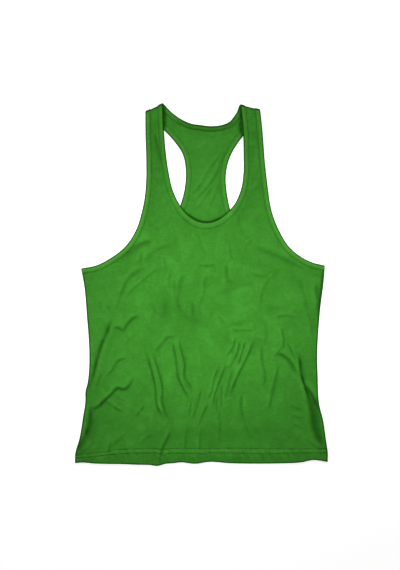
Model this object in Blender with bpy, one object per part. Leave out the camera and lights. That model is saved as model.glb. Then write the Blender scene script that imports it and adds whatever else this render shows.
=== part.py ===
"""Racerback gym tank top of cotton jersey, laid flat on its back with the front on top.

Metres, +Z up, +Y from the hem to the neck, left and right as seen from above.
The origin is the middle of the laid garment's box, on the surface that it lies on.
It is cut as a front, a back, one neck binding and two armhole bindings. The front and the back
meet at the side seams and at the shoulder seams, which lie on the rounded fold of each strap.
"""
import math
from collections import namedtuple

import bpy
import numpy as np
from mathutils import Vector
from mathutils.geometry import delaunay_2d_cdt

# Driving sizes
CLOTH = 0.001               # wall of the jersey
GAP = 0.0003                # air at every seam and between the layers
BINDING_WIDTH = 0.010       # finished width of the bindings
HEM_DEPTH = 0.030           # depth of the turned-up hem
HEM_LEDGE = 0.001           # length over which the hem's second layer ends
FOLD_RADIUS = 0.003         # radius of the cloth's middle round the shoulder fold
FOLD_STEPS = 4              # facets on each half of the shoulder fold

# What follows from them
BOUND_HALF = 1.5 * CLOTH + GAP               # half the thickness of a bound edge
BAND_LIFT = CLOTH + GAP                      # how far a binding lifts the panel that it holds
RAW_EDGE = CLOTH + 2 * GAP                   # the panel's raw edge, measured from the binding's fold
BAND_END = BINDING_WIDTH + 0.0015            # where the panel may leave the level of its binding
FOLD_AXIS = BOUND_HALF + FOLD_RADIUS         # height of the shoulder fold's axis
BACK_AT_FOLD = BOUND_HALF                    # middle of the back panel there
FRONT_AT_FOLD = FOLD_AXIS + FOLD_RADIUS      # middle of the front panel there
FOLD_ARC = FOLD_RADIUS * math.pi / 2         # cloth on each half of the fold

# Spacing of the mesh
EDGE_PITCH = 0.0125         # along bound edges
SIDE_PITCH = 0.024          # along the side seams
HEM_PITCH = 0.016           # along the hem
FRONT_PITCH = 0.0165        # inside the front
BACK_PITCH = 0.034          # inside the back
CREASE_PITCH = 0.013        # along the creases
FILL_CLEAR = 0.62           # the filling keeps this share of its pitch from other points
FILL_INSIDE = 0.4           # and this share from the panel's outline
SLOPE_STEP = 0.002          # step over which a panel's slope is taken
CURVE_STEPS = 16            # steps between two given points of an outline

# How the front lies on the back
BACK_RIM = 2 * BOUND_HALF   # height of the back's bound edge
RIM_OUT = 0.008             # the front keeps that height this far outside the back's edge
RIM_IN = 0.020              # and this far inside it
DRAPE_OUT = 0.040           # then it comes down to the surface over this length
DRAPE_IN = 0.030            # and to the back panel over this length
BAND_FLANK = 0.015          # length over which a panel comes down from its binding's level
HEM_FLANK = 0.028           # length over which the front comes down from the hem's level
STRAP_FLANK = 0.070         # length over which the front strap comes down from the shoulder fold
BACK_FLANK = 0.030          # length over which the back strap does
PUFF = 0.0016               # slack air under the front
PUFF_REACH = 0.035          # distance from the side seams at which it is nearly full
OBLIQUE_RUN = 0.022         # length over which a binding's sections turn to the seam that ends it
SEAM_HOLD = 0.004           # the side seams hold the front down over this distance
SEAM_RELEASE = 0.012        # and let its creases rise to their full height over this one
CREASE_END = 0.35           # share of a crease's height that is left at its ends

Point = namedtuple("Point", "x y")
Shoulder = namedtuple("Shoulder", "neck arm")
Crease = namedtuple("Crease", "x0 y0 x1 y1 x2 y2 height reach")
Station = namedtuple("Station", "x y across_x across_y height")

# Axis of each shoulder fold, from its neck end to its arm end
SHOULDER_LEFT = Shoulder(neck=Point(-0.0745, 0.3578), arm=Point(-0.1109, 0.3409))
SHOULDER_RIGHT = Shoulder(neck=Point(0.0770, 0.3527), arm=Point(0.1150, 0.3443))

# Edges of the laid garment, each read anticlockwise round its panel
HEM = [
    Point(-0.2520, -0.3540), Point(-0.2423, -0.3530), Point(-0.2117, -0.3562), Point(-0.1607, -0.3574),
    Point(-0.1223, -0.3588), Point(-0.0879, -0.3612), Point(-0.0709, -0.3556), Point(-0.0420, -0.3538),
    Point(-0.0135, -0.3568), Point(0.0150, -0.3530), Point(0.0567, -0.3556), Point(0.1137, -0.3564),
    Point(0.1621, -0.3558), Point(0.2000, -0.3537), Point(0.2240, -0.3482), Point(0.2400, -0.3500),
    Point(0.2519, -0.3534),
]
SIDE_RIGHT = [
    Point(0.2519, -0.3534), Point(0.2527, -0.3340), Point(0.2509, -0.3176), Point(0.2440, -0.2750),
    Point(0.2358, -0.2388), Point(0.2322, -0.1818), Point(0.2312, -0.1434), Point(0.2339, -0.0846),
    Point(0.2376, -0.0444), Point(0.2434, 0.0024), Point(0.2459, 0.0386),
]
SIDE_LEFT = [
    Point(-0.2397, 0.0324), Point(-0.2350, 0.0076), Point(-0.2284, -0.0626), Point(-0.2236, -0.1430),
    Point(-0.2250, -0.1740), Point(-0.2315, -0.2200), Point(-0.2358, -0.2670), Point(-0.2438, -0.3090),
    Point(-0.2515, -0.3370), Point(-0.2520, -0.3540),
]
FRONT_ARMHOLE_RIGHT = [
    Point(0.2459, 0.0386), Point(0.2225, 0.0428), Point(0.1975, 0.0560), Point(0.1737, 0.0774),
    Point(0.1545, 0.1096), Point(0.1399, 0.1490), Point(0.1325, 0.1950), Point(0.1267, 0.2466),
    Point(0.1225, 0.2990), Point(0.1203, 0.3208), Point(0.1167, 0.3440),
]
FRONT_NECK = [
    Point(0.0783, 0.3524), Point(0.0813, 0.3370), Point(0.0847, 0.3000), Point(0.0859, 0.2600),
    Point(0.0859, 0.2236), Point(0.0791, 0.1846), Point(0.0653, 0.1570), Point(0.0515, 0.1444),
    Point(0.0309, 0.1302), Point(0.0115, 0.1250), Point(-0.0027, 0.1268), Point(-0.0247, 0.1390),
    Point(-0.0431, 0.1574), Point(-0.0563, 0.1828), Point(-0.0675, 0.2288), Point(-0.0721, 0.2624),
    Point(-0.0756, 0.3070), Point(-0.0769, 0.3567),
]
FRONT_ARMHOLE_LEFT = [
    Point(-0.1115, 0.3406), Point(-0.1114, 0.3000), Point(-0.1100, 0.2488), Point(-0.1101, 0.2100),
    Point(-0.1133, 0.1726), Point(-0.1196, 0.1420), Point(-0.1301, 0.1096), Point(-0.1527, 0.0752),
    Point(-0.1807, 0.0534), Point(-0.2075, 0.0394), Point(-0.2397, 0.0324),
]
BACK_ARMHOLE_RIGHT = [
    Point(0.2459, 0.0386), Point(0.1913, 0.0466), Point(0.1513, 0.0616), Point(0.1113, 0.0756),
    Point(0.0873, 0.0936), Point(0.0693, 0.1196), Point(0.0571, 0.1524), Point(0.0509, 0.1834),
    Point(0.0487, 0.2180), Point(0.0562, 0.2526), Point(0.0713, 0.2808), Point(0.0846, 0.2980),
    Point(0.0960, 0.3120), Point(0.1065, 0.3290), Point(0.1140, 0.3445),
]
BACK_NECK = [
    Point(0.0752, 0.3531), Point(0.0713, 0.3425), Point(0.0641, 0.3328), Point(0.0565, 0.3240),
    Point(0.0423, 0.3176), Point(0.0207, 0.3144), Point(-0.0027, 0.3176), Point(-0.0200, 0.3202),
    Point(-0.0310, 0.3244), Point(-0.0523, 0.3374), Point(-0.0615, 0.3450), Point(-0.0736, 0.3583),
]
BACK_ARMHOLE_LEFT = [
    Point(-0.1081, 0.3422), Point(-0.0850, 0.3180), Point(-0.0675, 0.3014), Point(-0.0499, 0.2808),
    Point(-0.0380, 0.2624), Point(-0.0311, 0.2288), Point(-0.0331, 0.1930), Point(-0.0401, 0.1644),
    Point(-0.0567, 0.1256), Point(-0.0953, 0.0880), Point(-0.1297, 0.0700), Point(-0.1627, 0.0536),
    Point(-0.2027, 0.0386), Point(-0.2397, 0.0324),
]
NECK_JOIN = Point(0.0580, 0.1500)            # where the neck binding's two ends meet
SHOULDERS_FROM = 0.2                         # above this height of the plan only the straps are left

# Largest creases of the front: the two ends and a point between them, height and half the width
CREASES = [
    Crease(-0.181, -0.080, -0.193, -0.112, -0.216, -0.190, 0.0035, 0.010),
    Crease(-0.221, -0.238, -0.222, -0.266, -0.236, -0.306, 0.0030, 0.009),
    Crease(-0.133, -0.186, -0.161, -0.208, -0.208, -0.248, 0.0050, 0.012),
    Crease(-0.116, -0.236, -0.122, -0.252, -0.132, -0.270, 0.0025, 0.009),
    Crease(-0.097, -0.136, -0.083, -0.186, -0.069, -0.266, 0.0042, 0.011),
    Crease(-0.089, -0.130, -0.073, -0.112, -0.057, -0.099, 0.0025, 0.010),
    Crease(-0.052, -0.110, -0.041, -0.170, -0.022, -0.220, 0.0042, 0.011),
    Crease(0.023, -0.194, 0.013, -0.224, -0.010, -0.266, 0.0030, 0.011),
    Crease(0.107, -0.106, 0.087, -0.146, 0.051, -0.216, 0.0045, 0.012),
    Crease(0.076, -0.112, 0.076, -0.142, 0.062, -0.172, 0.0030, 0.009),
    Crease(0.151, -0.164, 0.143, -0.200, 0.129, -0.240, 0.0030, 0.011),
    Crease(0.193, -0.140, 0.203, -0.190, 0.219, -0.266, 0.0050, 0.010),
    Crease(0.153, -0.142, 0.175, -0.148, 0.192, -0.170, 0.0030, 0.009),
    Crease(-0.058, -0.284, -0.066, -0.300, -0.078, -0.316, 0.0022, 0.009),
    Crease(0.009, 0.006, 0.006, -0.018, -0.004, -0.040, 0.0020, 0.009),
]


def ease(value):
    """0 below 0, 1 above 1, with a soft start and end."""
    value = np.clip(value, 0.0, 1.0)
    return value * value * (3 - 2 * value)


def smooth(points, pitch):
    """Evenly spaced points on the smooth curve through the given ones."""
    given = np.array(points, float)
    step = np.linalg.norm(np.diff(given, axis=0), axis=1)
    slope = np.diff(given, axis=0) / step[:, None]
    tangent = np.vstack([slope[:1], slope[:-1] * step[1:, None] + slope[1:] * step[:-1, None], slope[-1:]])
    tangent[1:-1] /= (step[:-1] + step[1:])[:, None]
    dense = []
    for i, length in enumerate(step):
        for t in np.linspace(0, 1, CURVE_STEPS, endpoint=False):
            start = (1 + 2 * t) * (1 - t) ** 2 * given[i] + t * (1 - t) ** 2 * length * tangent[i]
            end = t * t * (3 - 2 * t) * given[i + 1] + t * t * (t - 1) * length * tangent[i + 1]
            dense.append(start + end)
    dense = np.vstack([dense, given[-1:]])
    arc = np.concatenate([[0], np.cumsum(np.linalg.norm(np.diff(dense, axis=0), axis=1))])
    even = np.linspace(0, arc[-1], max(2, round(arc[-1] / pitch) + 1))
    return np.column_stack([np.interp(even, arc, dense[:, 0]), np.interp(even, arc, dense[:, 1])])


def distance(path, where):
    """Shortest distance from each point of `where` to a path of straight pieces."""
    start, run = path[:-1], np.diff(path, axis=0)
    offset = where[:, None, :] - start[None, :, :]
    t = np.clip((offset * run).sum(2) / (run * run).sum(1), 0, 1)
    return np.linalg.norm(offset - t[:, :, None] * run, axis=2).min(1)


def inside(loop, where):
    """Tells which points lie inside a closed outline."""
    x0, y0 = loop[:, 0], loop[:, 1]
    x1, y1 = np.roll(x0, -1), np.roll(y0, -1)
    px, py = where[:, :1], where[:, 1:]
    spans = (y0 > py) != (y1 > py)
    rise = np.where(np.abs(y1 - y0) < 1e-12, 1e-12, y1 - y0)
    hits = spans & (px < (x1 - x0) * (py - y0) / rise + x0)
    return hits.sum(1) % 2 == 1


def shoulder_axes(shoulder):
    """The fold's start, its direction from neck to arm, and the way out over the fold."""
    start, end = Vector(shoulder.neck), Vector(shoulder.arm)
    along = (end - start).normalized()
    out = Vector((-along.y, along.x))
    if out.y < 0:
        out.negate()
    return start, along, out


def beyond_fold(x, y):
    """How far a point of the unfolded cloth lies beyond its shoulder fold's axis."""
    start, _, out = shoulder_axes(SHOULDER_LEFT if x < 0 else SHOULDER_RIGHT)
    return (Vector((x, y)) - start).dot(out)


def fold_over(x, y, z):
    """Bends what lies beyond the fold's axis round it: the front downwards, the back upwards."""
    past = beyond_fold(x, y)
    if past <= 0:
        return Vector((x, y, z))
    _, _, out = shoulder_axes(SHOULDER_LEFT if x < 0 else SHOULDER_RIGHT)
    angle = past / FOLD_RADIUS
    reach = abs(z - FOLD_AXIS) * math.sin(angle)
    return Vector((x + out.x * (reach - past), y + out.y * (reach - past),
                   FOLD_AXIS + (z - FOLD_AXIS) * math.cos(angle)))


def outline_of(armhole_right, neck, armhole_left):
    """A panel's whole outline at the bindings' folds, for measuring."""
    edges = [HEM, SIDE_RIGHT, armhole_right, neck, armhole_left, SIDE_LEFT]
    return np.vstack([smooth(edge, EDGE_PITCH)[:-1] for edge in edges])


BACK_OUTLINE = outline_of(BACK_ARMHOLE_RIGHT, BACK_NECK, BACK_ARMHOLE_LEFT)
FRONT_BOUND = [smooth(edge, EDGE_PITCH) for edge in (FRONT_ARMHOLE_RIGHT, FRONT_NECK, FRONT_ARMHOLE_LEFT)]
BACK_BOUND = [smooth(edge, EDGE_PITCH) for edge in (BACK_ARMHOLE_RIGHT, BACK_NECK, BACK_ARMHOLE_LEFT)]
BACK_ARMHOLES = [BACK_BOUND[0], BACK_BOUND[2]]
SIDES = [smooth(edge, EDGE_PITCH) for edge in (SIDE_RIGHT, SIDE_LEFT)]
HEM_LINE = smooth(HEM, EDGE_PITCH)
UNDERARM = min(SIDE_LEFT[0].y, SIDE_RIGHT[-1].y)
CREASE_LINES = [
    (smooth([Point(c.x0, c.y0), Point(c.x1, c.y1), Point(c.x2, c.y2)], CREASE_PITCH), c) for c in CREASES
]


def nearest(paths, where):
    return np.min([distance(path, where) for path in paths], axis=0)


def near_fold(where, flank):
    """1 at a shoulder fold's axis, 0 at `flank` below it."""
    past = np.array([beyond_fold(x, y) for x, y in where])
    return 1 - ease(-past / flank)


def back_height(where):
    """Height of the back panel's middle: it lies on the surface and rises only to its bindings."""
    lift = 1 - ease((nearest(BACK_BOUND, where) - BAND_END) / BAND_FLANK)
    lift = np.maximum(lift, near_fold(where, BACK_FLANK))
    return CLOTH / 2 + BAND_LIFT * lift


def crease_height(where):
    total = np.zeros(len(where))
    for line, crease in CREASE_LINES:
        offset = np.linalg.norm(where[:, None, :] - line[None, :, :], axis=2)
        share = offset.argmin(1) / (len(line) - 1)
        away = np.clip(distance(line, where) / crease.reach, 0, 1)
        taper = CREASE_END + (1 - CREASE_END) * np.sin(math.pi * share)
        total = np.maximum(total, crease.height * taper * np.cos(away * math.pi / 2) ** 2)
    return total


def front_height(where):
    """Height of the front panel's middle, over the back, its bindings, its hem and the bare surface."""
    over_back = inside(BACK_OUTLINE, where) | (where[:, 1] < UNDERARM)
    inward = nearest(BACK_ARMHOLES, where) * np.where(over_back, 1, -1)
    on_back = CLOTH + (BACK_RIM - CLOTH) * (1 - ease((inward - RIM_IN) / DRAPE_IN))
    off_back = -GAP + (BACK_RIM + GAP) * (1 - ease((-inward - RIM_OUT) / DRAPE_OUT))
    under = np.where(inward > 0, on_back, off_back)
    hem_away = distance(HEM_LINE, where)
    over_hem = CLOTH + 2 * CLOTH * (1 - ease((hem_away - HEM_DEPTH - 2 * HEM_LEDGE) / HEM_FLANK))
    under = np.maximum(under, np.where(where[:, 1] < 0, over_hem, -GAP))
    lift = BAND_LIFT * (1 - ease((nearest(FRONT_BOUND, where) - BAND_END) / BAND_FLANK))
    side_away = nearest(SIDES, where)
    slack = PUFF * (1 - np.exp(-(side_away / PUFF_REACH) ** 2)) * np.where(inward > 0, 1, 0)
    free = ease((side_away - SEAM_HOLD) / SEAM_RELEASE)
    height = under + GAP + CLOTH / 2 + lift + slack + crease_height(where) * free
    strap = near_fold(where, STRAP_FLANK) * np.where(where[:, 1] > SHOULDERS_FROM, 1, 0)
    return height + (FRONT_AT_FOLD - height) * strap


def bound_edge(points, height_at, start=None, finish=None):
    """Stations along a bound edge. `start` and `finish` are the ways that its end sections run.

    An end that comes to a shoulder is put exactly on the fold's axis.
    """
    path = smooth(points, EDGE_PITCH)
    for end in (0, -1):
        if path[end][1] > SHOULDERS_FROM:
            _, _, out = shoulder_axes(SHOULDER_LEFT if path[end][0] < 0 else SHOULDER_RIGHT)
            path[end] -= np.array(out) * beyond_fold(*path[end])
    run = np.gradient(path, axis=0)
    run /= np.linalg.norm(run, axis=1)[:, None]
    across = np.column_stack([-run[:, 1], run[:, 0]])
    arc = np.concatenate([[0], np.cumsum(np.linalg.norm(np.diff(path, axis=0), axis=1))])
    turned = across.copy()
    for direction, away, end in ((start, arc, 0), (finish, arc[-1] - arc, -1)):
        oblique = np.array(direction) / np.dot(direction, across[end])
        share = (1 - ease(away / OBLIQUE_RUN))[:, None]
        turned = turned * (1 - share) + oblique * share
    heights = height_at(path + turned * BINDING_WIDTH / 2)
    return [Station(*p, *c, h) for p, c, h in zip(path, turned, heights)]


def fold_rows(flat, partner, shoulder, height):
    """Stations on one half of the shoulder fold, from its axis to its apex, shared with the partner."""
    _, _, out = shoulder_axes(shoulder)
    rows = []
    for step in range(1, FOLD_STEPS + 1):
        share = step / FOLD_STEPS
        past = FOLD_ARC * share
        mix = [own + (other - own) * share / 2 for own, other in zip(flat[:4], partner[:4])]
        rows.append(Station(mix[0] + out.x * past, mix[1] + out.y * past, mix[2], mix[3], height))
    return rows


def side_direction(side, corner):
    """The way from an underarm corner down its side seam."""
    path = smooth(side, BAND_END)
    if corner == "start":
        run = path[1] - path[0]
    else:
        run = path[-2] - path[-1]
    return run / np.linalg.norm(run)


def build_edges():
    """Every bound edge as stations: flat ones, then the two halves of the fold at each shoulder."""
    left, right = (shoulder_axes(s)[1] for s in (SHOULDER_LEFT, SHOULDER_RIGHT))
    down_left, down_right = side_direction(SIDE_LEFT, "start"), side_direction(SIDE_RIGHT, "end")
    layers = {
        "front": (FRONT_ARMHOLE_RIGHT, FRONT_NECK, FRONT_ARMHOLE_LEFT, front_height, FRONT_AT_FOLD),
        "back": (BACK_ARMHOLE_RIGHT, BACK_NECK, BACK_ARMHOLE_LEFT, back_height, BACK_AT_FOLD),
    }
    flat = {}
    for layer, (arm_right, neck, arm_left, height_at, _) in layers.items():
        flat[layer] = {
            "arm_right": bound_edge(arm_right, height_at, start=down_right, finish=-np.array(right)),
            "neck": bound_edge(neck, height_at, start=np.array(right), finish=np.array(left)),
            "arm_left": bound_edge(arm_left, height_at, start=-np.array(left), finish=down_left),
        }
    edges = {}
    for layer, other in (("front", "back"), ("back", "front")):
        level = layers[layer][4]
        own, theirs = flat[layer], flat[other]
        edges[layer] = {
            "arm_right": own["arm_right"],
            "arm_right_end": fold_rows(own["arm_right"][-1], theirs["arm_right"][-1], SHOULDER_RIGHT, level),
            "neck_right_end": fold_rows(own["neck"][0], theirs["neck"][0], SHOULDER_RIGHT, level),
            "neck": own["neck"],
            "neck_left_end": fold_rows(own["neck"][-1], theirs["neck"][-1], SHOULDER_LEFT, level),
            "arm_left_end": fold_rows(own["arm_left"][0], theirs["arm_left"][0], SHOULDER_LEFT, level),
            "arm_left": own["arm_left"],
        }
    return edges


def point_on(station, inward):
    return (station.x + station.across_x * inward, station.y + station.across_y * inward)


def short_of_apex(rows, shoulder):
    """The panel's own last row of a fold stops half a gap before the apex, at the shoulder seam."""
    _, _, out = shoulder_axes(shoulder)
    last = rows[-1]
    return rows[:-1] + [last._replace(x=last.x - out.x * GAP / 2, y=last.y - out.y * GAP / 2)]


class Sheet:
    """Points of one panel in the unfolded cloth, each with the height of the cloth's middle."""

    def __init__(self, height_at):
        self.points, self.heights, self.height_at = [], [], height_at
        self.second = []        # 1 where the turned-up hem lies against the panel

    def add(self, x, y, height=None, second=0):
        self.points.append((x, y))
        self.heights.append(height)
        self.second.append(second)
        return len(self.points) - 1

    def settle(self):
        """Works out the heights that no station gave, and how much the slope thickens the wall upright."""
        where = np.array(self.points)
        free = self.height_at(where)
        known = np.array([np.nan if h is None else h for h in self.heights], float)
        self.heights = np.where(np.isnan(known), free, known)
        slopes = []
        for step in ([SLOPE_STEP, 0], [0, SLOPE_STEP]):
            rise = self.height_at(where + step) - self.height_at(where - step)
            slopes.append(rise / (2 * SLOPE_STEP))
        slope_x, slope_y = slopes
        steep = np.sqrt(1 + slope_x ** 2 + slope_y ** 2)
        return np.where(np.isnan(known), steep, 1.0)


def side_points(side, rising):
    """Points of a side seam between the hem's corner and the armhole binding, from the hem up."""
    path = smooth(side, SLOPE_STEP)
    if not rising:
        path = path[::-1]
    levels = [HEM_DEPTH - HEM_LEDGE, HEM_DEPTH]
    top = path[-1][1] - path[0][1] - BAND_END
    count = round((top - HEM_DEPTH) / SIDE_PITCH)
    levels += [HEM_DEPTH + (top - HEM_DEPTH) * i / count for i in range(1, count)]
    heights = [path[0][1] + level for level in levels]
    return [(float(np.interp(y, path[:, 1], path[:, 0])), y) for y in heights]


def panel(name, edges, height_at, pitch, creased, turned_down, material):
    """A panel as one closed wall: outline, bands under the bindings, hem, creases and a filling."""
    sheet = Sheet(height_at)
    loop, rows = [], []
    hem = smooth(HEM, HEM_PITCH)
    loop += [sheet.add(x, y, second=1) for x, y in hem]
    right = side_points(SIDE_RIGHT, rising=True)
    right_ids = [sheet.add(x, y, second=1 if i == 0 else 0) for i, (x, y) in enumerate(right)]
    loop += right_ids

    def band(stations, first_on_edge, last_on_edge):
        """Adds a bound edge's raw row to the loop and its inner row inside."""
        raw = [sheet.add(*point_on(s, RAW_EDGE), s.height) for s in stations]
        inner = [sheet.add(*point_on(s, BAND_END), s.height) for s in stations]
        rows.append(inner)
        rows.extend(zip(raw, inner))
        return ([inner[0]] if first_on_edge else []) + raw + ([inner[-1]] if last_on_edge else [])

    arm_right_end = short_of_apex(edges["arm_right_end"], SHOULDER_RIGHT)
    neck_right_end = short_of_apex(edges["neck_right_end"], SHOULDER_RIGHT)
    neck_left_end = short_of_apex(edges["neck_left_end"], SHOULDER_LEFT)
    arm_left_end = short_of_apex(edges["arm_left_end"], SHOULDER_LEFT)
    loop += band(edges["arm_right"] + arm_right_end, True, True)
    loop += band(neck_right_end[::-1] + edges["neck"] + neck_left_end, True, True)
    loop += band(arm_left_end[::-1] + edges["arm_left"], True, True)
    left = side_points(SIDE_LEFT, rising=False)
    left_ids = [sheet.add(x, y, second=1 if i == 0 else 0) for i, (x, y) in enumerate(left)]
    loop += left_ids[::-1]

    for level, doubled in ((HEM_DEPTH - HEM_LEDGE, 1), (HEM_DEPTH, 0)):
        ends = (left_ids[1 - doubled], right_ids[1 - doubled])
        row = [sheet.add(x, y + level, second=doubled) for x, y in hem[1:-1]]
        rows.append([ends[0]] + row + [ends[1]])
    if creased:
        for line, crease in CREASE_LINES:
            run = np.gradient(line, axis=0)
            across = np.column_stack([-run[:, 1], run[:, 0]]) / np.linalg.norm(run, axis=1)[:, None]
            for offset in (-crease.reach, 0, crease.reach):
                for x, y in line + across * offset:
                    sheet.add(x, y)

    outline = np.array([sheet.points[i] for i in loop])
    taken = np.array(sheet.points)
    row_height = pitch * math.sqrt(3) / 2
    low, high = outline.min(0), outline.max(0)
    for j, y in enumerate(np.arange(low[1], high[1], row_height)):
        for x in np.arange(low[0] + (j % 2) * pitch / 2, high[0], pitch):
            spot = np.array([[x, y]])
            clear = np.linalg.norm(taken - spot, axis=1).min() > FILL_CLEAR * pitch
            if clear and inside(outline, spot)[0] and distance(outline, spot)[0] > FILL_INSIDE * pitch:
                sheet.add(float(x), float(y))
    keep = sheet.settle()

    links = [(a, b) for a, b in zip(loop, loop[1:] + loop[:1])]
    for row in rows:
        links += list(zip(row, row[1:]))
    flat = [Vector(p) for p in sheet.points]
    points, _, triangles, origin, _, _ = delaunay_2d_cdt(flat, links, [], 1, 1e-6)
    source = [ids[0] for ids in origin]
    middle = np.array([sheet.heights[i] for i in source])
    half = CLOTH / 2 * np.array([keep[i] for i in source])
    extra = CLOTH * np.array([sheet.second[i] for i in source])
    top = middle + half + (0 if turned_down else extra)
    bottom = middle - half - (extra if turned_down else 0)
    if not turned_down:
        bottom = np.maximum(bottom, 0.0)
    count = len(points)
    verts = [fold_over(p.x, p.y, z) for p, z in zip(points, top)]
    verts += [fold_over(p.x, p.y, z) for p, z in zip(points, bottom)]
    faces = [tuple(t) for t in triangles]
    faces += [tuple(i + count for i in reversed(t)) for t in triangles]
    back_of = {old: new for new, old in enumerate(source)}
    rim = [back_of[i] for i in loop]
    for a, b in zip(rim, rim[1:] + rim[:1]):
        faces.append((a, a + count, b + count))
        faces.append((a, b + count, b))
    return make_object(name, verts, faces, material)


# The folded binding's section: distance in from the fold, and distance out from the panel's middle
SECTION = [
    Point(BINDING_WIDTH, BOUND_HALF), Point(CLOTH, BOUND_HALF), Point(0.0, BOUND_HALF - CLOTH),
    Point(0.0, CLOTH - BOUND_HALF), Point(CLOTH, -BOUND_HALF), Point(BINDING_WIDTH, -BOUND_HALF),
    Point(BINDING_WIDTH, CLOTH - BOUND_HALF), Point(CLOTH + GAP, CLOTH - BOUND_HALF),
    Point(CLOTH + GAP, BOUND_HALF - CLOTH), Point(BINDING_WIDTH, BOUND_HALF - CLOTH),
]


def binding(name, stations, material):
    """A strip folded over the raw edge. Each station comes with 1 on the front and -1 on the back."""
    verts, faces = [], []
    for station, outward in stations:
        for inward, out in SECTION:
            x, y = point_on(station, inward)
            verts.append(fold_over(x, y, station.height + outward * out))
    size = len(SECTION)
    for ring in range(len(stations) - 1):
        for i in range(size):
            a, b = ring * size + i, ring * size + (i + 1) % size
            faces.append((a, b, b + size, a + size))
    faces.append(tuple(range(size))[::-1])
    faces.append(tuple(range(len(verts) - size, len(verts))))
    return make_object(name, verts, faces, material)


def on_front(stations):
    return [(s, 1) for s in stations]


def on_back(stations):
    return [(s, -1) for s in stations]


def build_bindings(edges, material):
    front, back = edges["front"], edges["back"]
    over_right = on_front(front["arm_right_end"]) + on_back(back["arm_right_end"][-2::-1])
    binding("armhole_binding_right",
            on_front(front["arm_right"]) + over_right + on_back(back["arm_right"][::-1]), material)
    over_left = on_back(back["arm_left_end"]) + on_front(front["arm_left_end"][-2::-1])
    binding("armhole_binding_left",
            on_back(back["arm_left"][::-1]) + over_left + on_front(front["arm_left"]), material)
    neck_left = on_front(front["neck_left_end"]) + on_back(back["neck_left_end"][-2::-1])
    neck_right = on_back(back["neck_right_end"]) + on_front(front["neck_right_end"][-2::-1])
    before, after = split_at(front["neck"], NECK_JOIN)
    binding("neck_binding",
            on_front(after) + neck_left + on_back(back["neck"][::-1]) + neck_right + on_front(before), material)


def split_at(stations, place):
    """Cuts a bound edge at a place, and leaves a gap between its two ends."""
    away = [math.hypot(s.x - place.x, s.y - place.y) for s in stations]
    i = away.index(min(away))
    here, following = stations[i], stations[i + 1]
    share = GAP / math.hypot(following.x - here.x, following.y - here.y)
    fresh = Station(*(a + (b - a) * share for a, b in zip(here, following)))
    return stations[:i + 1], [fresh] + stations[i + 1:]


def make_object(name, verts, faces, material):
    mesh = bpy.data.meshes.new(name)
    mesh.from_pydata(verts, [], faces)
    mesh.update()
    mesh.shade_smooth()
    mesh.set_sharp_from_angle(angle=math.radians(40))
    obj = bpy.data.objects.new(name, mesh)
    bpy.context.scene.collection.objects.link(obj)
    mesh.materials.append(make_material(name, *material))
    return obj


def make_material(name, colour, roughness):
    material = bpy.data.materials.new(name)
    material.use_nodes = True
    shader = material.node_tree.nodes["Principled BSDF"]
    shader.inputs["Base Color"].default_value = (*colour, 1.0)
    shader.inputs["Roughness"].default_value = roughness
    shader.inputs["Metallic"].default_value = 0.0
    return material


GREEN_JERSEY = ((0.047, 0.270, 0.022), 0.9)
GREEN_BINDING = ((0.050, 0.285, 0.024), 0.9)


def main():
    for obj in list(bpy.data.objects):
        bpy.data.objects.remove(obj, do_unlink=True)
    edges = build_edges()
    panel("front_panel", edges["front"], front_height, FRONT_PITCH,
          creased=True, turned_down=True, material=GREEN_JERSEY)
    panel("back_panel", edges["back"], back_height, BACK_PITCH,
          creased=False, turned_down=False, material=GREEN_JERSEY)
    build_bindings(edges, GREEN_BINDING)


main()
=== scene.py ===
# Racerback gym tank top of cotton jersey, laid flat on its back with the front on top.
# Metres, +Y from the hem to the neck. Tables of places and creases are in millimetres, seen from above.
import math
from collections import namedtuple

import bpy
import numpy as np
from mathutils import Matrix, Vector, kdtree
from mathutils.geometry import delaunay_2d_cdt


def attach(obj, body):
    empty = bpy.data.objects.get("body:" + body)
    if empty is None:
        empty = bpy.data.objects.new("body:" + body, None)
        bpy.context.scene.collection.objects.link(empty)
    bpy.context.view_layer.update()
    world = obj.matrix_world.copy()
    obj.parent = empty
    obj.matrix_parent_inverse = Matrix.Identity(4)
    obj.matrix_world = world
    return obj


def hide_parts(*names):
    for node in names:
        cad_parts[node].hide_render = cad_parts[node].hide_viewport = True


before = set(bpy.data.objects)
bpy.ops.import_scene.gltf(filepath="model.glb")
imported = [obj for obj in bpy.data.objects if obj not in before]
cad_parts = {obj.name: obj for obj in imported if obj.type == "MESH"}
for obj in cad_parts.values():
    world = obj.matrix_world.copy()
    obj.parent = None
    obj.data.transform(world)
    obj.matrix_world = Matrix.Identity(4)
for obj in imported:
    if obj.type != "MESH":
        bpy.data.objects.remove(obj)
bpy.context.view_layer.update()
mm = 0.001

# Sizes that the pieces share
cloth = 1.0 * mm
gap = 0.3 * mm                          # air at the seams and between the layers
boundHalf = 1.5 * cloth + gap           # half the thickness of a bound edge
bandLift = cloth + gap                  # how far a binding lifts the panel that it holds
hemDepth = 30 * mm
shoulder = dict(
    # rimFrom and rimFade place the painted shade where a strap turns down at its fold
    radius=3 * mm, steps=6, flank=70 * mm, backFlank=30 * mm, rimFrom=-0.4 * mm, rimFade=1.4 * mm,
    above=0.2,                          # metres up the garment from which a point is on a strap
)
foldAxis = boundHalf + shoulder["radius"]
foldArc = shoulder["radius"] * math.pi / 2
frontAtFold = foldAxis + shoulder["radius"]
backAtFold = boundHalf

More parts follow.
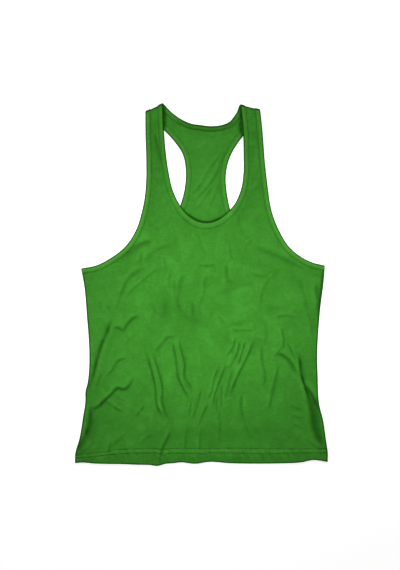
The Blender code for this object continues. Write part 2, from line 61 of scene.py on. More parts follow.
binding = dict(
    width=10 * mm, bandEnd=11.5 * mm, rawEdge=1.6 * mm, pitch=2.6 * mm, obliqueRun=22 * mm,
    join=(58, 150),                     # where the neck binding's two ends meet
    rows=(9.9, 9.5, 9.0, 8.6, 8.3, 8.0, 7.5, 6.5, 5.2, 4.0, 2.8),       # of its section, in from the fold
    foldPoints=9, tip=(0.8, 0.1),       # points round the fold, and how far the raw edges' tips stand out
    scoop=(4, 125), wider=2.6 * mm,     # the bottom of the neck, and how much more of it shows there
    widerReach=62 * mm, widerFrom=2 * mm, widerOver=8 * mm,
    puff=0.30 * mm, puffAt=5.0 * mm, puffHalf=3.3 * mm,     # soft roundness between its fold and its stitches
    stitchAt=8.3 * mm, dimple=0.22 * mm, dimpleHalf=0.9 * mm,
    edgeTuck=0.15 * mm, tuckFrom=9.0 * mm, tuckOver=1.0 * mm,
    ripple=0.16 * mm, ripples=7, rippleLength=9 * mm, rippleSpread=(0.6, 2.4), rippleStart=(0, 6.3),
    evenOver=5,                         # stations over which its height is evened
    # Painted shade in the stitches' dimple, at the band's inner edge and along its rounded fold, and a
    # painted highlight on its puffed middle
    stitchDark=0.15, edgeDark=0.45, edgeFrom=9.7 * mm, rimDark=0.95, rimFull=1.5 * mm, rimFade=1.3 * mm,
    gleamNeck=(0.14, 0.0), gleamArm=(0.44, 0.26), gleamHalf=2.6 * mm,     # painted highlight on the puff, on the front and on the back
)

# Edges of the laid garment, each read anticlockwise round its panel
cutLines = dict(
    hem=[(-252, -355.6), (-242.3, -354.6), (-211.7, -356.4), (-160.7, -357.4), (-122.3, -358.8),
        (-103, -359.2), (-87.9, -361), (-70.9, -356.8), (-56, -355.6), (-42, -354), (-13.5, -356.8),
        (15, -353), (56.7, -355.6), (113.7, -356.4), (162.1, -355.8), (200, -353.9), (224, -349.4),
        (240, -351.2), (251.9, -353.4)],
    sideRight=[(251.9, -353.4), (252.2, -334), (249.8, -317.6), (246.4, -292), (243.4, -272),
        (235.4, -238.8), (232.2, -181.8), (231.2, -143.4), (233.9, -84.6), (237.6, -44.4), (243.4, 2.4),
        (245.9, 38.6)],
    sideLeft=[(-239.7, 32.4), (-235, 7.6), (-228.4, -62.6), (-223.6, -143), (-224.4, -174), (-227.5, -198),
        (-231.4, -214), (-231.4, -230), (-236.2, -264), (-243.8, -309), (-251.5, -337), (-252, -355.6)],
    frontArmRight=[(245.9, 38.6), (222.5, 44.2), (197.5, 56.6), (173.7, 77.4), (154.5, 109.6), (139.9, 149),
        (132.5, 195), (126.7, 246.6), (122.5, 299), (120.3, 320.8), (117.6, 345)],
    frontNeck=[(77.4, 354.6), (79.7, 337), (83.0, 300), (84.1, 260), (84.0, 223.6), (77.4, 185), (64.2, 158),
        (50.6, 143.6), (30.5, 129.2), (11.5, 124.4), (-2.7, 126.2), (-24, 137.6), (-41.8, 157.8),
        (-54.9, 183.2), (-66.0, 229), (-70.7, 262.4), (-74.4, 307), (-76.4, 357.2)],
    frontArmLeft=[(-111.5, 340.6), (-111.4, 300), (-110, 248.8), (-110.1, 210), (-113.3, 172.6),
        (-119.6, 142), (-130.1, 109.6), (-152.7, 75.2), (-180.7, 53.4), (-207.5, 39.4), (-239.7, 32.4)],
    backArmRight=[(245.9, 38.6), (191.3, 46.6), (151.3, 61.6), (111.3, 75.6), (87.3, 93.6), (69.3, 119.6),
        (57.1, 152.4), (50.9, 183.4), (48.7, 218), (56.2, 252.6), (71.3, 280.8), (84.6, 298), (96, 312),
        (106.5, 329), (114.8, 345.6)],
    backNeck=[(74.8, 355.8), (71.0, 345), (64.4, 335), (57, 326), (42.6, 319.4), (20.7, 316.6), (-2.7, 319),
        (-20, 321.6), (-31, 325.8), (-52.3, 338.6), (-61.5, 346.2), (-73.4, 359.3)],
    backArmLeft=[(-108.1, 342.2), (-85, 318), (-67.5, 301.4), (-49.9, 280.8), (-38, 262.4), (-31.1, 228.8),
        (-33.1, 193), (-40.1, 164.4), (-56.7, 125.6), (-95.3, 88), (-129.7, 70), (-162.7, 53.6),
        (-202.7, 38.6), (-239.7, 32.4)],
)
cutLines = {name: np.array(points) * mm for name, points in cutLines.items()}
shoulderLines = dict(                   # axis of each shoulder fold, from its neck end to its arm end
    left=np.array([(-74.3, 358.6), (-110.9, 341.3)]) * mm,
    right=np.array([(76.6, 355.4), (116.0, 345.4)]) * mm,
)

creaseRow = namedtuple("creaseRow", "rise reach sink width dark crest line")
shadeRow = namedtuple("shadeRow", "dark width line")


def asCrease(rise, reach, sink, width, dark, crest, *line):
    return creaseRow(rise * mm, reach * mm, sink * mm, width * mm, dark, crest, np.array(line) * mm)


def asShade(dark, width, *line):
    return shadeRow(dark, width * mm, np.array(line) * mm)


# Creases. The line is where the cloth falls steeply: rise is the height of the crest beside it, which
# sinks again over reach; sink is the depth of the trough on the line itself, width half the steep part
# and dark how much painted shade the cloth gets in it, with a painted highlight beside the crest. The crest
# is left or right of the line's way, or both.
frontCreases = [asCrease(*row) for row in (
    (4.4, 22, 0.6, 3.0, 1.0, "left", (-174, -62), (-181, -79), (-189, -98), (-198, -120), (-206, -146),
     (-213, -174), (-220, -198), (-225, -212)),
    (1.4, 10, 0.3, 2.2, 0.30, "left", (-196, -176), (-204, -192), (-209, -206)),
    (2.6, 18, 0.6, 2.4, 0.62, "right", (-122, -63), (-134, -65), (-145, -75), (-151, -84), (-157, -91),
     (-164, -86), (-172, -85), (-182, -81)),
    (1.8, 14, 0.5, 2.0, 0.48, "right", (-148, -147), (-160, -148), (-168, -153), (-177, -169),
     (-189, -182)),
    (4.6, 24, 0.8, 2.5, 0.85, "right", (-134, -183), (-141, -195), (-147, -204), (-157, -208), (-166, -205),
     (-179, -217), (-195, -232), (-210, -245), (-224, -248)),
    (1.6, 12, 0.6, 1.9, 0.45, "left", (-192, -230), (-180, -240), (-169, -247), (-154, -254)),
    (1.0, 12, 0.3, 2.2, 0.28, "left", (-172, -216), (-163, -226), (-151, -234)),
    (1.5, 12, 0.7, 1.9, 0.48, "right", (-114, -240), (-122, -252), (-131, -262)),
    (3.2, 11, 0.6, 4.4, 0.92, "right", (-220, -238), (-222, -262), (-226, -286), (-236, -308), (-246, -326),
     (-252, -336)),
    (4.2, 7, 0.8, 2.0, 0.66, "left", (-108, -134), (-104, -152), (-98, -175), (-91, -206), (-89, -238),
     (-81, -257), (-76, -268)),
    (4.2, 7, 0.8, 2.0, 0.62, "right", (-98, -134), (-92, -152), (-85, -175), (-78, -206), (-78, -238),
     (-67, -262), (-60, -277)),
    (1.8, 16, 0.7, 2.4, 0.46, "left", (-94, -136), (-79, -118), (-67, -105), (-52, -104)),
    (3.6, 7, 0.8, 2.1, 0.60, "left", (-58, -106), (-54, -130), (-49, -158), (-46, -185), (-36, -206),
     (-24, -229)),
    (3.6, 7, 0.8, 2.0, 0.56, "right", (-46, -106), (-40, -132), (-33, -158), (-34, -182), (-22, -204),
     (-16, -219)),
    (2.4, 14, 0.6, 2.2, 0.66, "right", (-60, -290), (-68, -306), (-76, -322), (-82, -342), (-84, -356)),
    (1.2, 12, 0.3, 2.2, 0.36, "right", (-180, -312), (-184, -328), (-185, -348)),
    (1.0, 12, 0.3, 2.2, 0.32, "right", (-29, -282), (-31, -302), (-33, -326), (-36, -346)),
    (1.0, 12, 0.4, 1.9, 0.34, "right", (0, -282), (-2, -300), (-4, -318), (-2, -338)),
    (3.0, 12, 0.8, 2.1, 0.60, "right", (108, -103), (102, -118), (92, -142), (76, -174), (65, -198),
     (54, -227)),
    (1.8, 7, 0.7, 1.7, 0.46, "both", (88, -110), (81, -138), (74, -162)),
    (2.2, 8, 0.8, 1.9, 0.60, "right", (75, -110), (73, -130), (65, -148), (57, -168)),
    (1.2, 6, 0.6, 1.6, 0.42, "both", (63, -140), (56, -166)),
    (1.8, 9, 0.8, 1.9, 0.52, "right", (69, -104), (62, -126), (49, -143)),
    (1.8, 8, 0.7, 1.8, 0.45, "right", (60, -172), (54, -198), (47, -228)),
    (2.4, 8, 0.8, 1.8, 0.60, "right", (50, -158), (40, -182), (31, -206), (25, -228), (22, -250)),
    (1.8, 7, 0.6, 1.7, 0.48, "right", (36, -160), (26, -185), (22, -205), (13, -230)),
    (2.0, 7, 0.8, 1.7, 0.52, "left", (42, -198), (40, -222), (41, -246)),
    (1.2, 6, 0.6, 1.6, 0.40, "right", (33, -213), (30, -230), (29, -252)),
    (1.8, 8, 0.7, 1.8, 0.52, "left", (2, -206), (-5, -230), (-12, -254), (-18, -270)),
    (1.8, 9, 0.7, 1.9, 0.50, "right", (14, -234), (6, -252), (-1, -268), (-6, -282)),
    (1.0, 7, 0.4, 1.7, 0.32, "both", (-20, -232), (-22, -247), (-25, -264)),
    (3.4, 20, 0.8, 2.8, 0.75, "left", (146, -143), (158, -138), (168, -144), (178, -154), (190, -174),
     (198, -186)),
    (2.0, 10, 0.6, 2.2, 0.48, "right", (158, -84), (162, -100), (163, -122), (153, -134), (143, -142)),
    (1.8, 9, 0.5, 1.8, 0.40, "left", (170, -112), (180, -132), (192, -158)),
    (5.6, 28, 0.8, 2.8, 1.20, "right", (192, -136), (194.8, -148), (198.5, -178), (205, -200), (212, -222),
     (216, -240)),
    (4.0, 26, 0.6, 4.2, 0.66, "right", (209, -212), (213, -226), (218.5, -250), (222.5, -280), (230, -303),
     (240, -317), (249, -328)),
    (2.6, 12, 0.3, 2.8, 0.95, "left", (203, -192), (210, -203), (220, -218), (228.5, -235), (236, -250)),
    (1.6, 12, 0.7, 3.0, 0.42, "both", (121, -120), (121, -150), (127, -182), (124, -208)),
    (0.8, 14, 0.4, 3.0, 0.26, "both", (127, -74), (130, -98), (127, -120)),
    (2.2, 14, 0.6, 2.4, 0.48, "right", (154, -160), (147, -190), (140, -220), (134, -252)),
    (1.4, 12, 0.6, 2.6, 0.42, "both", (82, -216), (79, -244), (84, -270)),
    (1.1, 12, 0.6, 1.9, 0.32, "left", (58, -90), (76, -91), (94, -90), (106, -91)),
    (1.3, 12, 0.6, 2.0, 0.36, "left", (148, -64), (168, -62), (188, -64)),
    (0.9, 12, 0.4, 2.2, 0.30, "left", (176, -238), (190, -246), (206, -251)),
    (0.9, 12, 0.4, 2.2, 0.30, "left", (178, -259), (192, -263), (208, -266)),
    (0.9, 12, 0.4, 2.2, 0.28, "left", (182, -276), (194, -282), (206, -288)),
    (0.8, 10, 0.4, 2.0, 0.26, "left", (109, -106), (116, -109), (124, -114)),
    (1.3, 12, 0.6, 2.8, 0.40, "both", (51, 40), (50, 22), (54, 2)),
    (1.0, 12, 0.5, 2.2, 0.34, "both", (56, 82), (58, 64), (62, 48)),
    (1.2, 14, 0.7, 1.9, 0.36, "left", (-7, 39), (10, 38), (29, 39)),
    (1.2, 12, 0.5, 2.6, 0.34, "right", (7, 20), (6, -4), (2, -26), (-4, -40)),
    (1.2, 12, 0.5, 3.4, 0.38, "both", (-36, 28), (-42, -2), (-47, -32), (-43, -48), (-36, -60)),
    (0.9, 10, 0.5, 2.0, 0.32, "both", (-53, 10), (-54, -12), (-52, -38)),
    (0.9, 10, 0.5, 2.2, 0.32, "both", (-61, 28), (-64, 8), (-66, -8)),
    (1.2, 10, 0.5, 3.0, 0.42, "both", (-19, -32), (-17, -48), (-15, -64)),
    (0.8, 10, 0.4, 2.0, 0.24, "both", (22, -50), (21, -58), (18, -68)),
    (0.9, 9, 0.5, 2.0, 0.30, "left", (33, -62), (38, -67), (46, -76)),
    (0.9, 10, 0.4, 3.0, 0.18, "left", (54, -86), (52, -100), (55, -118)),
    (0.7, 12, 0.4, 2.0, 0.26, "left", (-10, 104), (-2, 88), (3, 70)),
    (0.6, 12, 0.4, 1.8, 0.18, "left", (84, 66), (90, 78), (102, 90)),
    (1.3, 20, 0.4, 4.2, 0.40, "left", (102, 76), (132, 66), (160, 53), (188, 40), (204, 30)),
    (1.0, 16, 0.4, 2.4, 0.28, "right", (160, 30), (144, 18), (128, 0), (119, -24), (117, -58)),
    (0.8, 14, 0.3, 2.4, 0.24, "left", (98, 24), (112, 19), (124, 16), (138, 24), (158, 31)),
    (0.7, 14, 0.3, 3.4, 0.12, "left", (116, 6), (94, 0), (56, -12), (22, -25)),
    (1.4, 14, 0.5, 4.6, 0.52, "right", (-94, 90), (-122, 81), (-141, 70), (-162, 58), (-178, 48)),
    (0.9, 12, 0.4, 2.8, 0.32, "right", (-62, 81), (-90, 70), (-106, 57), (-120, 43)),
    (0.8, 9, 0.4, 2.6, 0.34, "both", (-117, 64), (-119, 54), (-123, 43)),
    (1.3, 14, 0.5, 2.8, 0.44, "right", (-112, 33), (-131, 25), (-146, 11), (-154, -4), (-164, -28)),
    (0.8, 14, 0.5, 1.9, 0.28, "left", (-172, -52), (-162, -24), (-150, 0)),
    (0.9, 10, 0.5, 1.8, 0.32, "right", (-82, 35), (-101, 21), (-122, 3), (-141, -13), (-153, -30)),
    (0.8, 9, 0.5, 2.0, 0.36, "right", (-76, 54), (-73, 44), (-69, 30)),
    (0.9, 8, 0.5, 3.0, 0.38, "right", (-190, -42), (-185, -49), (-180, -52)),
    (0.7, 8, 0.4, 3.2, 0.22, "both", (-202, -30), (-203, -42), (-202, -54)),
    (0.8, 10, 0.3, 2.4, 0.22, "right", (-110, -83), (-102, -92), (-94, -101)),
    (0.7, 10, 0.3, 2.2, 0.22, "right", (-138, -104), (-146, -110), (-151, -120)),
    (0.9, 14, 0.5, 3.6, 0.30, "left", (134, -40), (145, -47), (158, -48)),
    (0.8, 14, 0.5, 4.0, 0.22, "left", (58, -74), (74, -78), (92, -72)),
    (0.8, 12, 0.5, 5.0, 0.22, "both", (-72, -36), (-73, -54), (-76, -72)),
    (0.6, 10, 0.4, 4.0, 0.18, "both", (-97, -42), (-93, -52), (-90, -62)),
    (0.8, 10, 0.4, 2.4, 0.30, "both", (35, -250), (37, -280), (36, -316)),
    (0.7, 10, 0.4, 2.6, 0.24, "both", (84, -276), (92, -294), (104, -312)),
    (0.9, 10, 0.4, 2.2, 0.28, "right", (-96, -298), (-112, -306), (-120, -318)),
    (0.9, 10, 0.4, 2.2, 0.26, "right", (-150, -296), (-166, -310), (-178, -322)),
    (1.0, 10, 0.4, 2.4, 0.40, "left", (-214, -318), (-230, -330), (-246, -340)),
    (1.0, 10, 0.4, 2.4, 0.40, "right", (214, -312), (230, -326), (248, -336)),
    (0.9, 10, 0.4, 2.6, 0.34, "left", (196, 14), (205, -18), (213, -54), (222, -84)),
    (1.6, 9, 0.4, 3.4, 0.62, "right", (229, 4), (229, -16), (232, -34), (230, -52)),
    (0.9, 9, 0.4, 4.0, 0.30, "right", (222, -62), (220, -84), (222, -108)),
    (0.8, 12, 0.4, 2.4, 0.28, "right", (73, 140), (74, 127), (71, 116)),
    (0.8, 12, 0.4, 2.6, 0.24, "right", (-106, 122), (-96, 114), (-84, 108)),
    (1.3, 10, 0.4, 2.0, 0.55, "left", (-94, 306), (-91, 294), (-87, 276), (-83, 258), (-80, 244)),
    (0.7, 10, 0.3, 3.0, 0.16, "left", (-98, 230), (-88, 229), (-76, 231)),
    (0.6, 10, 0.3, 3.0, 0.20, "left", (-96, 216), (-84, 210), (-72, 212)),
    (0.6, 10, 0.3, 3.0, 0.22, "left", (90, 308), (98, 303), (108, 306)),
    (0.6, 10, 0.3, 3.0, 0.20, "left", (92, 274), (100, 276), (110, 272)),
    (0.6, 10, 0.3, 3.0, 0.20, "left", (94, 184), (104, 190), (116, 200)),
)]
backCreases = [asCrease(*row) for row in (
    (0.9, 7, 0.3, 2.2, 0.34, "left", (-19, 178), (-8, 192), (3, 207), (14, 227), (26, 244), (36, 257),
     (44, 270)),
    (1.0, 8, 0.3, 2.2, 0.44, "left", (-13, 168), (-2, 179), (13, 197), (23, 210), (33, 230), (40, 250),
     (49, 268)),
    (0.8, 7, 0.2, 2.0, 0.26, "left", (-12, 148), (0, 164), (14, 184), (25, 202)),
    (0.8, 7, 0.2, 2.0, 0.24, "left", (11, 140), (17, 154), (26, 176), (36, 206)),
    (0.7, 7, 0.0, 2.2, 0.24, "left", (-30, 164), (-20, 178), (-12, 196)),
    (0.6, 5, 0.2, 2.0, 0.40, "both", (-1, 301), (3, 301.5)),
    (0.6, 5, 0.2, 2.0, 0.34, "both", (10, 302), (13, 299)),
    (0.6, 6, 0.2, 2.4, 0.20, "both", (-10, 290), (-8, 286)),
    (1.4, 14, 0.0, 3.4, 0.30, "right", (-150, -60), (-110, -110), (-90, -180)),
    (1.2, 12, 0.0, 3.2, 0.30, "left", (-60, 20), (-48, -40), (-54, -110)),
    (1.5, 14, 0.0, 3.4, 0.30, "left", (40, -60), (64, -130), (60, -210), (76, -260)),
    (1.2, 12, 0.0, 3.2, 0.30, "right", (120, 10), (104, -60), (112, -120)),
    (1.4, 14, 0.0, 3.2, 0.30, "left", (190, -120), (168, -190), (176, -270)),
    (1.2, 14, 0.0, 3.2, 0.30, "right", (-190, -180), (-160, -230), (-120, -250)),
    (1.0, 12, 0.0, 3.2, 0.25, "left", (0, 90), (12, 30), (4, -20)),
    (1.2, 12, 0.0, 3.2, 0.26, "right", (-20, -170), (-8, -230), (-22, -290)),
)]
# Painted shadows where the front lies over the back, painted shade along the back neck's fold and groove, and
# painted light where dark is negative: how dark, half the width, and the line
backShades = [asShade(*row) for row in (
    (0.92, 3.6, (-78, 372), (-76, 356), (-73.5, 338), (-74, 318), (-77, 302)),
    (0.95, 4.6, (76, 370), (78, 354), (80, 334), (79, 316), (82, 298), (85, 284)),
    (0.72, 1.3, (-58, 186), (-51.5, 175), (-41.2, 158.6), (-23.5, 138.4), (-2.7, 126.9), (11.5, 125.1),
     (30.2, 130), (50, 144.2), (63.4, 158.6), (76, 182)),
    (0.95, 2.2, (-30, 146), (-21.8, 137.8), (-2.7, 127.4), (11.5, 125.4), (30, 130.4), (42, 139)),
    (0.98, 3.5, (-58, 342), (-44, 333), (-31, 325.2), (-20, 320.8), (-2.7, 318.2), (20.7, 315.8),
     (42.6, 318.6), (57, 325.4), (67, 338)),
    (-0.15, 30, (14, 300), (10, 240), (4, 180), (0, 130)),
    (-0.16, 13, (-60, 306), (-30, 298), (6, 293), (40, 296), (66, 304)),
    (0.16, 14, (66, 340), (60, 322), (56, 310)),
    (0.45, 1.9, (-60, 334), (-46, 325), (-30, 316), (-4, 310), (20, 308), (43, 311), (58, 320), (68, 331)),
)]
# Soft painted shade and painted light over the front, where dark is negative, for how the light falls across
# it
frontShades = [asShade(*row) for row in (
    (0.17, 11, (-76, -30), (-72, -48), (-70, -60), (-66, -80)),
    (0.14, 9, (-52, -36), (-42, -52), (-34, -60), (-22, -72)),
    (0.13, 6, (-26, -70), (-10, -73), (6, -72)),
    (0.12, 10, (60, 18), (54, -4), (42, -14), (32, -30)),
    (0.12, 7, (124, -42), (140, -48), (158, -48)),
    (0.07, 7, (52, -68), (72, -74), (96, -70)),
    (0.15, 32, (-96, -6), (-60, -40), (-20, -52), (16, -44), (44, -8)),
    (0.06, 18, (-90, -76), (-60, -88), (-30, -84), (20, -78)),
    (0.48, 9, (213, -212), (222, -240), (227, -268), (233, -296), (241, -324)),
    (0.70, 2.2, (243, 36), (241, 10), (237, -22), (234, -52), (232, -74)),
    (0.13, 12, (-214, -256), (-210, -284), (-218, -312)),
    (0.17, 18, (-150, -312), (-60, -304), (20, -298), (80, -294), (140, -302), (216, -308)),
    (0.10, 16, (20, -240), (66, -262), (110, -278)),
    (0.12, 8, (-110, -350), (0, -347), (100, -348), (190, -347)),
    (0.08, 22, (-90, 14), (-40, 2), (20, 4), (80, 2), (120, 12)),
    (-0.20, 11, (-232, -80), (-226, -120), (-224, -160), (-228, -210)),
    (-0.10, 12, (160, -14), (190, -24), (206, -50)),
    (-0.16, 8, (-232, -262), (-238, -290), (-242, -312), (-246, -340)),
    (-0.22, 6, (241, -262), (243, -284), (246, -304), (248, -324)),
    (-0.10, 12, (226, 34), (222, 10), (224, -14)),
    (0.10, 18, (-92, 270), (-92, 190), (-84, 140), (-56, 112)),
    (0.10, 18, (96, 230), (92, 160), (68, 122)),
    (-0.16, 4, (-97, -146), (-90, -176), (-84, -206), (-82, -236), (-72, -262)),
    (-0.14, 4, (-50, -112), (-43, -140), (-40, -166), (-36, -190)),
    (-0.10, 14, (-66, -120), (-56, -150), (-60, -190), (-50, -220)),
    (-0.08, 14, (48, -84), (70, -96), (96, -98)),
)]


# Curves and distances in the plane of the cloth
curveSteps = 16                         # dense points between two given ones
blockSize = 3000                        # points that are measured at a time
waveSpread = (0.6, 1.7)                 # how much shorter and longer an unevenness's waves are


def ease(value, start=0.0, over=1.0):
    # 0 up to start, 1 from start + over on, and soft between
    value = np.clip((value - start) / over, 0.0, 1.0)
    return value * value * (3 - 2 * value)


def hump(away, half):
    # 1 in the middle, 0 at half the width and past it
    return np.cos(np.clip(np.abs(away) / half, 0, 1) * math.pi / 2) ** 2


def bell(away, half):
    return np.exp(-(away / half) ** 2)


def arcLength(path):
    return np.concatenate([[0], np.cumsum(np.linalg.norm(np.diff(path, axis=0), axis=1))])


def readAlong(values, arc, places):
    # a path's columns, read at other places along it
    return np.column_stack([np.interp(places, arc, column) for column in values.T])


def sideways(path):
    # the way across a path at each of its points, towards its left
    run = np.gradient(path, axis=0)
    return np.column_stack([-run[:, 1], run[:, 0]]) / np.linalg.norm(run, axis=1)[:, None]


def smoothPath(points, pitch):
    # evenly spaced points on the smooth curve through the given ones
    given = np.array(points, float)
    step = np.linalg.norm(np.diff(given, axis=0), axis=1)
    slope = np.diff(given, axis=0) / step[:, None]
    inner = (slope[:-1] * step[1:, None] + slope[1:] * step[:-1, None]) / (step[:-1] + step[1:])[:, None]
    tangent = np.vstack([slope[:1], inner, slope[-1:]])
    dense = []
    for i, length in enumerate(step):
        for t in np.linspace(0, 1, curveSteps, endpoint=False):
            start = (1 + 2 * t) * (1 - t) ** 2 * given[i] + t * (1 - t) ** 2 * length * tangent[i]
            end = t * t * (3 - 2 * t) * given[i + 1] + t * t * (t - 1) * length * tangent[i + 1]
            dense.append(start + end)
    dense = np.vstack([dense, given[-1:]])
    arc = arcLength(dense)
    return readAlong(dense, arc, np.linspace(0, arc[-1], max(2, round(arc[-1] / pitch) + 1)))


def measure(path, where):
    # distance to a path, positive on its left, and how far along it the nearest place is
    start, run = path[:-1], np.diff(path, axis=0)
    length = np.linalg.norm(run, axis=1)
    before = arcLength(path)[:-1]
    away, along = np.zeros(len(where)), np.zeros(len(where))
    for first in range(0, len(where), blockSize):
        block = slice(first, first + blockSize)
        offset = where[block, None] - start
        share = np.clip((offset * run).sum(2) / length ** 2, 0, 1)
        lag = offset - share[..., None] * run
        best = (lag ** 2).sum(2).argmin(1)
        rows = np.arange(len(best))
        left = run[best, 0] * offset[rows, best, 1] - run[best, 1] * offset[rows, best, 0]
        away[block] = np.linalg.norm(lag[rows, best], axis=1) * np.where(left < 0, -1, 1)
        along[block] = before[best] + share[rows, best] * length[best]
    return away, along


def nearest(paths, where):
    return np.min([np.abs(measure(path, where)[0]) for path in paths], axis=0)


def inside(loop, where):
    x0, y0 = loop[:, 0], loop[:, 1]
    x1, y1 = np.roll(x0, -1), np.roll(y0, -1)
    rise = np.where(np.abs(y1 - y0) < 1e-12, 1e-12, y1 - y0)
    found = np.zeros(len(where), bool)
    for first in range(0, len(where), blockSize):
        block = slice(first, first + blockSize)
        px, py = where[block, :1], where[block, 1:]
        hits = ((y0 > py) != (y1 > py)) & (px < (x1 - x0) * (py - y0) / rise + x0)
        found[block] = hits.sum(1) % 2 == 1
    return found


# Seeds of all that is uneven
seeds = dict(creases=31, back=5, front=11, fine=12, pucker=21, lower=22, upper=23, frontMesh=3, backMesh=4)


def swell(where, seed, length, count=14):
    # soft unevenness of about -1 to 1, from waves of about that length in all directions
    pick = np.random.default_rng(seeds[seed])
    total = np.zeros(len(where))
    for _ in range(count):
        way = pick.uniform(0, 2 * math.pi)
        pitch = length * pick.uniform(*waveSpread)
        phase = pick.uniform(0, 2 * math.pi)
        across = where[:, 0] * math.cos(way) + where[:, 1] * math.sin(way)
        total += np.sin(across * 2 * math.pi / pitch + phase)
    return total / math.sqrt(count)


# The shoulder folds

def foldAxes(line):
    # the fold's start, its way from neck to arm, and the way out over it
    along = (line[1] - line[0]) / np.linalg.norm(line[1] - line[0])
    out = np.array([-along[1], along[0]])
    return line[0], along, out if out[1] > 0 else -out


def shoulderOf(where):
    # start and way out of the shoulder fold on each point's own side
    left, right = foldAxes(shoulderLines["left"]), foldAxes(shoulderLines["right"])
    onLeft = where[:, :1] < 0
    return np.where(onLeft, left[0], right[0]), np.where(onLeft, left[2], right[2])


def beyondFold(where):
    start, out = shoulderOf(where)
    return ((where[:, :2] - start) * out).sum(1)


def onStrap(where):
    return where[:, 1] > shoulder["above"]


def foldRim(where):
    # 1 where a strap turns down at its shoulder fold: the painted shade of that rounded turn
    return ease(beyondFold(where), shoulder["rimFrom"], shoulder["rimFade"]) * onStrap(where)


def foldOver(points):
    # bends what lies beyond the fold's axis round it
    out = shoulderOf(points)[1]
    past = np.maximum(beyondFold(points), 0.0)
    angle = past / shoulder["radius"]
    reach = np.abs(points[:, 2] - foldAxis) * np.sin(angle)
    bent = points.copy()
    bent[:, :2] += out * (reach - past)[:, None] * (past > 0)[:, None]
    bent[:, 2] = np.where(past > 0, foldAxis + (points[:, 2] - foldAxis) * np.cos(angle), points[:, 2])
    return bent


def nearFold(where, flank):
    # 1 at a shoulder fold's axis, 0 at flank below it
    return 1 - ease(-beyondFold(where), 0, flank)


# How the layers lie
lie = dict(
    rim=2 * boundHalf,                  # height of the back's bound edge
    rimOut=8 * mm, rimIn=20 * mm,       # the front keeps that height this far outside and inside it
    drapeOut=40 * mm, drapeIn=30 * mm,  # and then comes down over this length
    bandFlank=15 * mm, hemFlank=28 * mm, hemClear=2 * mm,
    slack=1.6 * mm, slackReach=35 * mm, slackEdge=18 * mm, slackLeft=0.1 * mm,
    seamHold=2 * mm, seamRelease=9 * mm,
    frontSwell=0.30 * mm, frontSwellLength=34 * mm, fineSwell=0.07 * mm, fineSwellLength=11 * mm,
    backSwell=0.18 * mm, backSwellLength=40 * mm,
    taper=0.22, taperLeft=0.12,         # share of a crease over which each end fades, and what is left there
    shadeTaper=0.2,                     # share of a shade over which each end fades
    troughHalf=1.6, crestAt=2.3, crestHalf=1.3,     # in widths of the crease
    shade=0.72, nearSpread=0.95, farSpread=1.75,    # a crease's painted shade, and how wide on either side
    gleam=0.27,                         # the painted highlight on its crest
    # how unevenly a crease's painted shade runs along it
    uneven=0.17, unevenLength=22 * mm, unevenMost=1.5,
    # Painted shade along the rounded side and hem edges, and in the groove beside a binding
    rimFull=2.0 * mm, rimFade=1.3 * mm, rimDark=0.88,
    seamGroove=0.30 * mm, seamGrooveAt=10.7 * mm, seamGrooveHalf=1.5 * mm, seamDark=0.32,
)
finePitch = 4 * mm
paths = {name: smoothPath(points, finePitch) for name, points in cutLines.items()}
frontBound = [paths["frontArmRight"], paths["frontNeck"], paths["frontArmLeft"]]
backBound = [paths["backArmRight"], paths["backNeck"], paths["backArmLeft"]]
backArmholes = [paths["backArmRight"], paths["backArmLeft"]]
sides = [paths["sideRight"], paths["sideLeft"]]
hemPath = [paths["hem"]]
backLoop = ("hem", "sideRight", "backArmRight", "backNeck", "backArmLeft", "sideLeft")
backOutline = np.vstack([paths[name][:-1] for name in backLoop])
underarm = min(cutLines["sideLeft"][0][1], cutLines["sideRight"][-1][1])


def endTaper(share, part, left=0.0):
    # fades both ends of a line
    return ease(share / part + left) * ease((1 - share) / part + left)


def deepen(dark, shade):
    # lays one painted shade over another, or a painted highlight where shade is negative
    return 1 - (1 - dark) * (1 - shade)


def rimOf(away, full, fade):
    # 1 at an edge, 0 past full + fade inside it
    return 1 - ease(np.abs(away), full, fade)


def grooveAt(bound):
    # depth of the groove beside a binding
    return lie["seamGroove"] * hump(bound - lie["seamGrooveAt"], lie["seamGrooveHalf"])


def creaseField(rows, where):
    # height that the creases add at each point, how deep their troughs are, and their painted shade, negative
    # for a painted highlight on a crest
    ridges, troughs, dark, bright = (np.zeros(len(where)) for _ in range(4))
    most = lie["unevenMost"]
    uneven = 1 + lie["uneven"] * np.clip(swell(where, "creases", lie["unevenLength"]), -most, most)
    for row in rows:
        line, width = smoothPath(row.line, finePitch), row.width
        far = row.reach + width
        near = np.all((where > line.min(0) - far) & (where < line.max(0) + far), axis=1)
        away, along = measure(line, where[near])
        taper = endTaper(along / arcLength(line)[-1], lie["taper"], lie["taperLeft"])
        toCrest = {"left": away, "right": -away, "both": np.abs(away) - width / 2}[row.crest]
        climb = ease(toCrest / (2 * width) + 0.5)
        fall = 1 - ease(toCrest, width, row.reach - width)
        # painted shade on the line, wider on the side away from the crest, and a painted highlight beside the
        # crest
        spread = np.where(toCrest > 0, lie["nearSpread"], lie["farSpread"]) * width
        shade = lie["shade"] * row.dark * bell(away, spread) * taper * uneven[near]
        gleam = row.dark * bell(toCrest - lie["crestAt"] * width, lie["crestHalf"] * width) * taper
        ridges[near] += (row.rise * climb * fall * taper) ** 3
        troughs[near] = np.maximum(troughs[near], row.sink * hump(away, lie["troughHalf"] * width) * taper)
        dark[near] = np.maximum(dark[near], shade)
        bright[near] = np.maximum(bright[near], gleam)
    return np.cbrt(ridges), troughs, dark - lie["gleam"] * bright * (1 - dark)


def shadeField(rows, where):
    # how much the painted shades darken each point, or how much their painted light lightens it where they
    # are negative
    dark = np.zeros(len(where))
    for row in rows:
        line = smoothPath(row.line, finePitch)
        away, along = measure(line, where)
        taper = endTaper(along / arcLength(line)[-1], lie["shadeTaper"])
        dark = deepen(dark, row.dark * bell(away, row.width) * taper)
    return dark


